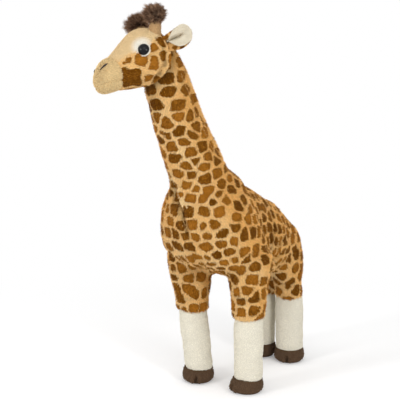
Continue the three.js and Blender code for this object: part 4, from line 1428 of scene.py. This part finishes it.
def sew_muzzle(head, coat):
    """The nose and the chin: one stuffed form, cut at the mouth and tucked in along the cut."""
    form = muzzle_form(head)
    whole = stuffed("muzzle_plush", [form], 1.4 * MM, 10)
    mouth = head_point(0, head.length, MOUTH_RISE)
    up = np.array(HEAD_UP)
    # Plush dyed beige: matt, a shade deeper than the panel that it meets
    cloth = plain_plush("short-pile plush, beige", coat.muzzle, 0.05)
    for name, stands_for, upper in (("nose", "muzzle", True), ("chin", "chin", False)):
        bm = bmesh.new()
        bm.from_mesh(whole.data)
        found = bmesh.ops.bisect_plane(
            bm, geom=[*bm.verts, *bm.edges, *bm.faces], plane_co=mouth, plane_no=HEAD_UP,
            clear_inner=upper, clear_outer=not upper)
        rim = [item for item in found["geom_cut"] if isinstance(item, bmesh.types.BMEdge)]
        bmesh.ops.holes_fill(bm, edges=rim)
        mesh = bpy.data.meshes.new(f"{name}_plush")
        bm.to_mesh(mesh)
        bm.free()
        piece = linked_piece(mesh.name, mesh)
        points = points_of(mesh)
        tuck = bell((points - np.array(mouth)) @ up, 2.2 * MM) * 1.5 * MM
        inward = np.array(form.start.lerp(form.end, 0.4)) - points
        inward = unit(inward - (inward @ up)[:, None] * up)
        move_points(mesh, points + inward * tuck[:, None])
        cover(
            piece, f"{name}_pile", (2.4, 1.35, 0.9, 60),
            -HEAD_AHEAD * 0.7 - HEAD_UP * 0.5, SEED + 40, ("head", "muzzle_plush", cloth),
            [stands_for], 0.9)
    return whole


def stitch_nostrils(head, whole):
    """Nostrils in satin stitch: threads laid side by side across a slanting stroke."""
    form = muzzle_form(head)
    tree = skin_tree(whole)
    # Rayon embroidery thread: dark, with the soft shine of its twist
    thread = grained("rayon embroidery thread", 0.5, {"Roughness": 0.5}, ("1C120B", "3A281B"))
    for name, side in SIDES.items():
        place, normal = on_skin(tree, form, NOSTRIL_ALONG, mirrored(NOSTRIL_ROUND, side))
        slant = HEAD_AHEAD + HEAD_UP * 0.35
        slant = (slant - normal * slant.dot(normal)).normalized()
        over = normal.cross(slant)
        points, faces = [], []
        for t in np.linspace(0, 1, THREADS):
            reach = (t - 0.5) * NOSTRIL_LENGTH
            half = (0.3 + 2.0 * math.sin(math.pi * min(1, t * 1.02)) ** 0.7 * (1.15 - t)) * MM
            faces.append(np.vstack([
                ring_quads(THREAD_STEPS, THREAD_SIDES), THREAD_FOOT,
                np.array(THREAD_FOOT)[:, ::-1] + (THREAD_STEPS - 1) * THREAD_SIDES]) + len(points))
            for s in np.linspace(-1, 1, THREAD_STEPS):
                flat = place + slant * (reach + s * 0.35 * MM) + over * (s * half)
                hit, out, _, _ = tree.ray_cast(flat + normal * 0.02, -normal)
                centre = hit + out * (THREAD_LIFT + THREAD_BOW * (1 - s * s))
                points += [*ring(
                    centre, THREAD_RADIUS * (1 - 0.7 * s ** 8), slant, out, THREAD_SIDES)]
        piece = mesh_piece(f"nostril_{name}_stitch", points, np.vstack(faces), smooth=True)
        face_out(piece.data)
        finish_piece(piece, "head", "thread", thread, [f"nostril_{name}"])


def set_eyes(head, eyes, coat):
    """Domed eyes with a rolled rim of pale plush round each."""
    # Black acetal, moulded and polished: deep black, with small sharp lights on the dome
    glossy = grained(
        "polished acetal, black", 0.6,
        {"Base Color": opaque(linear("050507")), "IOR": 1.49, "Specular IOR Level": 0.25},
        roughs=(0.04, 0.09))
    # Natural nylon of the lock washers, faintly grained by the mould
    nylon = grained("moulded nylon, natural", 0.8, {"Roughness": 0.45}, ("E4E2DC", "F4F3EF"))
    # Bleached plush, rolled round the eye: a bright matt ring that sets off the dome
    rim_cloth = plain_plush("plush rim, whitish", coat.brow, 0.04)
    profile = [
        (head.eye_radius * math.sin(angle), head.eye_bulge * math.cos(angle))
        for angle in np.linspace(0, math.pi / 2, DOME_RINGS + 1)[1:]]
    profile += [(head.eye_radius * 0.97, -1.2 * MM), (head.eye_radius * 0.6, -2.2 * MM)]
    for name in SIDES:
        place, out = eyes[name]
        level = HEAD_UP.cross(out).normalized()
        over = out.cross(level)
        points, faces = closed_rings(np.array([
            ring(place + out * height, radius, level, over, DOME_SIDES)
            for radius, height in profile]))
        points[-2] = place + out * head.eye_bulge
        dome = mesh_piece(f"eye_{name}_dome", points, faces[:, ::-1], smooth=True)
        finish_piece(dome, "head", "eye_gloss", glossy, [f"eye_{name}"])
        washer = frame["nodes"][f"eye_washer_{name}"].data.materials
        washer.clear()
        washer.append(nylon)
        points = []
        for turn in np.linspace(0, 2 * math.pi, RIM_ROUND, endpoint=False):
            spoke = level * math.cos(turn) + over * math.sin(turn)
            thick = RIM_TUBE * (1 + 0.25 * math.sin(turn + 3.6))
            centre = place + spoke * (head.eye_radius + RIM_GAP) + out * RIM_LIFT
            points += [*ring(centre, thick, spoke, out, RIM_SIDES)]
        rim = mesh_piece(f"eye_{name}_rim", points, ring_quads(RIM_ROUND, RIM_SIDES, True), True)
        face_out(rim.data)
        cover(
            rim, f"eye_{name}_rim_pile", (1.4, 0.9, 0.7, 50), -HEAD_AHEAD, SEED + 50,
            ("head", "face_plush", rim_cloth))


class GIRAFFE_OT_head(bpy.types.Operator):
    """Sew the head, its face panel, nose and chin, and set the eyes"""

    bl_idname = "giraffe.head"
    bl_label = "Head"

    def execute(self, context):
        head, coat = context.scene.giraffe_head, context.scene.giraffe_coat
        eyes = sew_head(head, coat)
        whole = sew_muzzle(head, coat)
        stitch_nostrils(head, whole)
        bpy.data.objects.remove(whole)
        set_eyes(head, eyes, coat)
        return {"FINISHED"}


def lay_strands(name, roots, ways, reach, spec):
    """Long loose fibres, each a tapering ribbon of several bends, whose tips stick in clumps."""
    rng = np.random.default_rng(spec["seed"])
    count, bends = len(roots), spec["bends"]
    drift = rng.normal(size=(count, 3)) * spec["stray"]
    long = spec["length"] * rng.uniform(0.45, 1.2, (count, 1)) * reach[:, None]
    side = unit(np.cross(ways, rng.normal(size=(count, 3))))
    place, way = roots, ways
    path = [place]
    for _ in range(bends):
        sway = rng.normal(size=(count, 3)) * 0.1
        way = unit(way + drift / bends + np.array(spec["droop"]) / bends + sway)
        place = place + way * long / bends
        path.append(place)
    path = np.stack(path, 1)
    leaders = rng.choice(count, spec["clumps"], replace=False)
    leader = leaders[nearest_middles(roots, roots[leaders], 1)[:, 0]]
    draw = (np.arange(bends + 1) / bends) ** 1.3 * spec["draw"]
    path = path + (path[leader] - path) * draw[None, :, None]
    wide = spec["width"] * (1 - np.arange(bends + 1) / bends) ** 0.7
    aside = side[:, None] * wide[None, :, None] / 2
    points = np.stack([path - aside, path + aside], 2).reshape(count, -1, 3)[:, :-1]
    each = points.shape[1]
    corners = [
        (low, low + far, low + 3 - (far == 3)) for low in range(0, each - 3, 2) for far in (1, 3)]
    corners.append((each - 3, each - 2, each - 1))
    start = (np.arange(count) * each)[:, None, None]
    faces = (start + np.array([corners])).reshape(-1, 3)
    piece = mesh_piece(name, points.reshape(-1, 3), faces)
    tips = np.append(np.repeat(np.arange(bends) / bends, 2), 1.0)
    shade = 0.55 * rng.random(count) + 0.45 * rng.random(count)[leader]
    set_values(piece.data, "tip", np.tile(tips, count))
    set_values(piece.data, "strand", np.repeat(shade, each))
    return piece


def sew_tuft(name, body, form, spec, material):
    """A furry tuft: a small stuffed core under long fibres, swept and longest to one side."""
    core = stuffed(f"{name}_core", [form], 1.6 * MM, 6)
    points, corners = points_of(core.data), triangles_of(core.data)
    rng = np.random.default_rng(spec["seed"])
    sides = points[corners]
    area = np.linalg.norm(np.cross(sides[:, 1] - sides[:, 0], sides[:, 2] - sides[:, 0]), axis=1)
    picks = corners[rng.choice(len(corners), spec["count"], p=area / area.sum())]
    mix = rng.dirichlet((1, 1, 1), spec["count"])[:, :, None]
    roots, ways = (
        (values[picks] * mix).sum(1) for values in (points, normals_of(core.data)))
    sweep, lift = np.array(spec["sweep"]), np.array(spec["lift"])
    toward = ways @ sweep
    ways = unit(ways + rng.normal(size=ways.shape) * 0.2 + lift + sweep * 0.6)
    upward = ways @ lift / np.linalg.norm(lift)
    reach = (1 + 1.6 * np.maximum(toward, 0)) * (0.62 + 0.38 * smooth_step(-0.7, 0.3, upward))
    fibres = lay_strands(f"{name}_fibres", roots - ways * 0.6 * MM, ways, reach, spec)
    finish_piece(core, body, "tuft_fur", material, [name], 0.6)
    finish_piece(fibres, body, "tuft_fur", material)


HORN_ALONG, HORN_ROUND = 0.2, 58
# Along a horn, in mm
HORN_SUNK, HORN_LENGTH = 7, 32
TUFT_DOWN, TUFT_LENGTH = 17, 21


class GIRAFFE_OT_horns(bpy.types.Operator):
    """Sew the horns and their furry tufts"""

    bl_idname = "giraffe.horns"
    bl_label = "Horns"

    def execute(self, context):
        head, coat = context.scene.giraffe_head, context.scene.giraffe_coat
        fur = tuft_fibre(FUR, coat)
        # Plush dyed tan: matt, between the face's cream and the dark tuft
        cloth = plain_plush("short-pile plush, horn", linear("CEA878"), 0.06)
        tree = skin_tree(bpy.data.objects["head_plush"])
        for name, side in SIDES.items():
            root, _ = on_skin(tree, head_form(head), HORN_ALONG, mirrored(HORN_ROUND, side))
            up = (HEAD_UP + HEAD_LEFT * 0.42 * side - HEAD_AHEAD * 0.12).normalized()
            fore = HEAD_LEFT.cross(up).normalized()
            form = Form(
                root - up * HORN_SUNK * MM, root + up * HORN_LENGTH * MM, up.cross(fore), fore,
                head.horn_width, head.horn_width, HORN_SHARES, 2)
            stem = stuffed(f"horn_{name}_plush", [form], 1.4 * MM, 8)
            cover(
                stem, f"horn_{name}_pile", (2.4, 1.4, 0.9, 55), -up, SEED + 60,
                ("head", "plush", cloth), [f"horn_{name}"], 0.8)
            # The far tuft is fuller and sits a little lower
            fuller, lower = (0, 0) if side > 0 else (2.8, 1)
            start = form.end - up * TUFT_DOWN * MM - up * lower * MM
            width = head.tuft_width + fuller * MM
            core = Form(
                start, start + up * TUFT_LENGTH * MM, form.across, fore, width, width,
                PILL_SHARES, 2)
            sew_tuft(f"horn_tuft_{name}", "head", core, dict(
                seed=SEED + 61 + side, count=8500, length=11 * MM, width=0.42 * MM, bends=5,
                stray=0.27, droop=up * -0.05, lift=up * 0.28, clumps=320, draw=0.68,
                sweep=HEAD_LEFT * -0.45 + HEAD_AHEAD * 0.2), fur)
        return {"FINISHED"}


EAR_WIDTH_SHARES = [
    (0, 0.76), (0.1, 0.84), (0.25, 0.92), (0.42, 0.98), (0.58, 1), (0.74, 0.93),
    (0.87, 0.72), (0.95, 0.46), (1, 0.12),
]
LINING_WIDTH_SHARES = [
    (0, 0.1), (0.1, 0.3), (0.25, 0.7), (0.42, 0.98), (0.58, 1.02), (0.74, 0.98),
    (0.87, 0.8), (0.95, 0.54), (1, 0.16),
]


EAR_ROWS, EAR_COLUMNS = 60, 61
EAR_FOLD, EAR_FOLD_WIDTH = 4.6 * MM, 2.4 * MM
LOBE, LOBE_PLACE, LOBE_WIDTH = 2.4 * MM, 7 * MM, 4.5 * MM
EAR_BOW, EAR_TIP_BEND = 1.6 * MM, 4 * MM


def ear_layer(name, axes, reach, width_shares, width, lift, thick, cup, fold_from_middle):
    """One layer of an ear: a leaf rolled up at its foot, with two lobes along a deep fold."""
    pivot, out, front, wide = axes
    shares = np.array(width_shares, float)
    grid = []
    for t in np.linspace(0, 1, EAR_ROWS):
        half = eased(shares, t, 1) * width / 2
        roll = math.radians(cup[1] + (cup[0] - cup[1]) * (1 - t) ** 1.6)
        radius = half / roll
        along_fold = smooth_step(0.0, 0.14, t) * (1 - smooth_step(0.45, 0.78, t))
        bow = -EAR_BOW * math.sin(math.pi * min(1, t * 1.25))
        for v in np.linspace(-1, 1, EAR_COLUMNS):
            angle = v * roll
            aside = abs(v - fold_from_middle / half) * half
            fold = LOBE * bell(aside - LOBE_PLACE, LOBE_WIDTH) - EAR_FOLD * bell(aside, EAR_FOLD_WIDTH)
            edge = math.sqrt(max(0.0, 1 - abs(v) ** 5)) * min(1, math.sqrt((1 - t) * 8 + 0.02))
            outward = front * -math.cos(angle) + wide * math.sin(angle)
            centre = pivot + out * (reach[0] + (reach[1] - reach[0]) * t)
            reach_out = radius + fold * along_fold + EAR_TIP_BEND * t ** 2.4
            centre = centre + front * reach_out + wide * bow
            centre = centre + outward * (radius - lift)
            shell = outward * thick * edge / 2
            grid.append((centre - shell, centre + shell))
    inner, outer = np.array(grid).reshape(EAR_ROWS, EAR_COLUMNS, 2, 3).transpose(2, 0, 1, 3)
    return slab(name, inner, outer, 2)


class GIRAFFE_OT_ears(bpy.types.Operator):
    """Sew the ears with their pale linings"""

    bl_idname = "giraffe.ears"
    bl_label = "Ears"

    def execute(self, context):
        head, coat = context.scene.giraffe_head, context.scene.giraffe_coat
        # Knitted velour: nearly smooth, so that the ear's hollow alone shades it
        smooth = plain_plush("knitted velour, off-white", coat.lining, 0.03)
        for name in SIDES:
            body = f"ear_{name}"
            pivot, wide = joint_point(f"{body}_flop"), joint_axis(f"{body}_flop")
            out = node_middle(body) - pivot
            out = (out - wide * out.dot(wide)).normalized()
            front = wide.cross(out)
            if wide.dot(HEAD_UP) < 0:
                wide = -wide
            foot = pivot - front * 2 * MM - wide * 2.2 * MM
            outer = ear_layer(
                f"{body}_plush", (foot, out, front, wide), (-8 * MM, 48.8 * MM),
                EAR_WIDTH_SHARES, head.ear_width, 0, 2.6 * MM, (head.ear_roll, 24), 2.8 * MM)
            inner = ear_layer(
                f"{body}_lining_plush", (foot + wide * 2.2 * MM, out, front, wide),
                (3 * MM, 51.5 * MM), LINING_WIDTH_SHARES, head.ear_width,
                3.0 * MM, 2.0 * MM, (head.ear_roll * 0.8, 21), 1.2 * MM)
            printed = lay_print(outer, coat.patch_pitch * 0.8, coat.lane_width, SEED + 70)
            set_values(outer.data, "pale", 0.15)
            cover(
                outer, f"{body}_pile", (2.2, 1.4, 0.9, 64), out, SEED + 71,
                (body, "plush", bpy.data.materials[PRINTED]), [body], field=printed)
            cover(
                inner, f"{body}_lining_nap", (1.5, 1.2, 0.8, 62), out, SEED + 72,
                (body, "lining", smooth), [f"ear_lining_{name}"])
        return {"FINISHED"}


class GIRAFFE_OT_tail(bpy.types.Operator):
    """Sew the tail and its tuft"""

    bl_idname = "giraffe.tail"
    bl_label = "Tail"

    def execute(self, context):
        coat = context.scene.giraffe_coat
        root = joint_point("tail_swing")
        down = Matrix.Rotation(math.radians(9), 3, LEFT) @ -UP
        fore = LEFT.cross(down)
        width, tuft_width = 12.5 * MM, 15 * MM
        form = Form(
            root - down * 4 * MM, root + down * 104 * MM, LEFT, fore, width, width, TAIL_SHARES, 2)
        skin = stuffed("tail_plush", [form], 1.2 * MM, 6)
        printed = lay_print(skin, coat.patch_pitch * 0.7, coat.lane_width, SEED + 80)
        set_values(skin.data, "pale", 0.1)
        cover(
            skin, "tail_pile", (3.2, 1.5, 1.0, 55), down, SEED + 81,
            ("tail", "plush", bpy.data.materials[PRINTED]), ["tail"], 0.7, field=printed)
        start = root + down * 92 * MM
        core = Form(
            start, start + down * 30 * MM, LEFT, fore, tuft_width, tuft_width, PILL_SHARES, 2)
        sew_tuft("tail_tuft", "tail", core, dict(
            seed=SEED + 82, count=3600, length=15 * MM, width=0.55 * MM, bends=5, stray=0.3,
            droop=down * 0.9, lift=down * 0.7, clumps=120, draw=0.8, sweep=down * 0.3),
            bpy.data.materials[FUR])
        return {"FINISHED"}


# Stage


def turn_to(thing, way):
    thing.rotation_euler = way.to_track_quat("-Z", "Y").to_euler()
    bpy.context.scene.collection.objects.link(thing)


def place_camera(stage):
    angle = math.radians(stage.camera_azimuth)
    turned = angle + math.radians(stage.camera_pan)
    pitch = math.radians(stage.camera_pitch)
    data = bpy.data.cameras.new("camera")
    data.lens = stage.lens
    data.sensor_width = 36
    camera = bpy.data.objects.new("camera", data)
    camera.location = FEET_MIDDLE + Vector((
        math.sin(angle) * stage.camera_distance, -math.cos(angle) * stage.camera_distance,
        stage.camera_height))
    turn_to(camera, Vector((
        -math.sin(turned) * math.cos(pitch), math.cos(turned) * math.cos(pitch), -math.sin(pitch))))
    bpy.context.scene.camera = camera


def area_light(name, aside, size, power):
    middle = FEET_MIDDLE + UP * 0.3
    data = bpy.data.lights.new(name, "AREA")
    data.shape = "DISK"
    data.size = size
    data.energy = power
    lamp = bpy.data.objects.new(name, data)
    lamp.location = middle + Vector(aside)
    turn_to(lamp, -Vector(aside))


def seen_directly(tree):
    """One for rays from the camera and for those that shine or pass through, else nothing."""
    seen, *others = (
        node(tree, "LightPath", output=f"Is {kind} Ray")
        for kind in ("Camera", "Glossy", "Transmission"))
    for other in others:
        seen = node(tree, "Math", {0: seen, 1: other}, operation="MAXIMUM")
    return seen


def white_paper(name, stage):
    """Matt background paper: it keeps the toy's shadow and is pure white away from it."""
    material, tree = new_material(name)
    place = node(tree, "TexCoord", output="Object")
    away = node(tree, "VectorMath", {0: place, 1: FEET_MIDDLE}, "Value", operation="DISTANCE")
    far = node(tree, "MapRange", {0: away, 1: 0.3, 2: 0.8}, interpolation_type="SMOOTHSTEP")
    grain = node(tree, "TexNoise", {"Vector": place, "Scale": per_mm(1.5), "Detail": 3.0}, FACTOR)
    low, high = (opaque(linear(code)) for code in ("EDEDED", "F1F1F1"))
    base = node(tree, "Mix", {0: grain, 6: low, 7: high}, MIXED, data_type="RGBA")
    paper = node(tree, "BsdfDiffuse", {"Color": base})
    lift, white = (
        node(tree, "Emission", {"Color": (1, 1, 1, 1), "Strength": strength})
        for strength in (stage.floor_lift, 1.0))
    lit = node(tree, "AddShader", {0: paper, 1: lift})
    shown = node(tree, "MixShader", {0: far, 1: lit, 2: white})
    mixed = node(tree, "MixShader", {0: seen_directly(tree), 1: paper, 2: shown})
    node(tree, "OutputMaterial", {"Surface": mixed})
    return material


# Each lamp: where it stands from the toy's middle, in metres, how wide it is, and its power setting
LAMPS = {
    "key": ((0.9, -1.5, 1.5), 1.5, "key_power"),
    "fill": ((-1.6, -0.9, 0.7), 1.6, "fill_power"),
    "catch_front": ((-0.523, -1.606, 0.76), 0.36, "catch_power"),
    "catch_side": ((1.388, -0.721, 0.561), 0.36, "catch_power"),
}
FLOOR_REACH = 6.0


class GIRAFFE_OT_stage(bpy.types.Operator):
    """Set the floor, the lights and the camera"""

    bl_idname = "giraffe.stage"
    bl_label = "Stage"

    def execute(self, context):
        stage = context.scene.giraffe_stage
        place_camera(stage)
        for name, (aside, size, power) in LAMPS.items():
            area_light(name, aside, size, getattr(stage, power))
        world = bpy.data.worlds.new("studio")
        world.use_nodes = True
        tree = world.node_tree
        tree.nodes.clear()
        level = node(tree, "MapRange", {0: seen_directly(tree), 3: stage.world_level, 4: 1.0})
        glow = node(tree, "Background", {"Color": (1, 1, 1, 1), "Strength": level})
        node(tree, "OutputWorld", {"Surface": glow})
        context.scene.world = world
        corners = [
            (x * FLOOR_REACH, y * FLOOR_REACH, 0) for x, y in ((-1, -1), (1, -1), (1, 1), (-1, 1))]
        floor = mesh_piece("floor", corners, np.array([(0, 1, 2, 3)]))
        floor.data.materials.append(white_paper("studio paper, white", stage))
        context.scene.view_settings.view_transform = "Standard"
        return {"FINISHED"}


class GIRAFFE_PT_panel(bpy.types.Panel):
    """The giraffe's pieces and sizes"""

    bl_label = "Giraffe"
    bl_idname = "GIRAFFE_PT_panel"
    bl_space_type = "VIEW_3D"
    bl_region_type = "UI"
    bl_category = "Giraffe"

    def draw(self, context):
        for group in SETTINGS:
            box = self.layout.box()
            box.label(text=group.replace("giraffe_", "").capitalize())
            settings = getattr(context.scene, group)
            for name in settings.__annotations__:
                box.prop(settings, name)
        for operator in OPERATORS:
            self.layout.operator(operator.bl_idname)


SETTINGS = {
    "giraffe_body": GiraffeBody,
    "giraffe_head": GiraffeHead,
    "giraffe_coat": GiraffeCoat,
    "giraffe_stage": GiraffeStage,
}
OPERATORS = (
    GIRAFFE_OT_coat,
    GIRAFFE_OT_mane,
    GIRAFFE_OT_lower_legs,
    GIRAFFE_OT_head,
    GIRAFFE_OT_horns,
    GIRAFFE_OT_ears,
    GIRAFFE_OT_tail,
    GIRAFFE_OT_stage,
)


def register():
    for made in (*SETTINGS.values(), *OPERATORS, GIRAFFE_PT_panel):
        bpy.utils.register_class(made)
    for name, made in SETTINGS.items():
        setattr(bpy.types.Scene, name, PointerProperty(type=made))


def unregister():
    for name in SETTINGS:
        delattr(bpy.types.Scene, name)
    for made in (GIRAFFE_PT_panel, *reversed(OPERATORS), *SETTINGS.values()):
        bpy.utils.unregister_class(made)


def main():
    register()
    for operator in OPERATORS:
        getattr(bpy.ops.giraffe, operator.bl_idname.split(".")[1])()


if __name__ == "__main__":
    main()
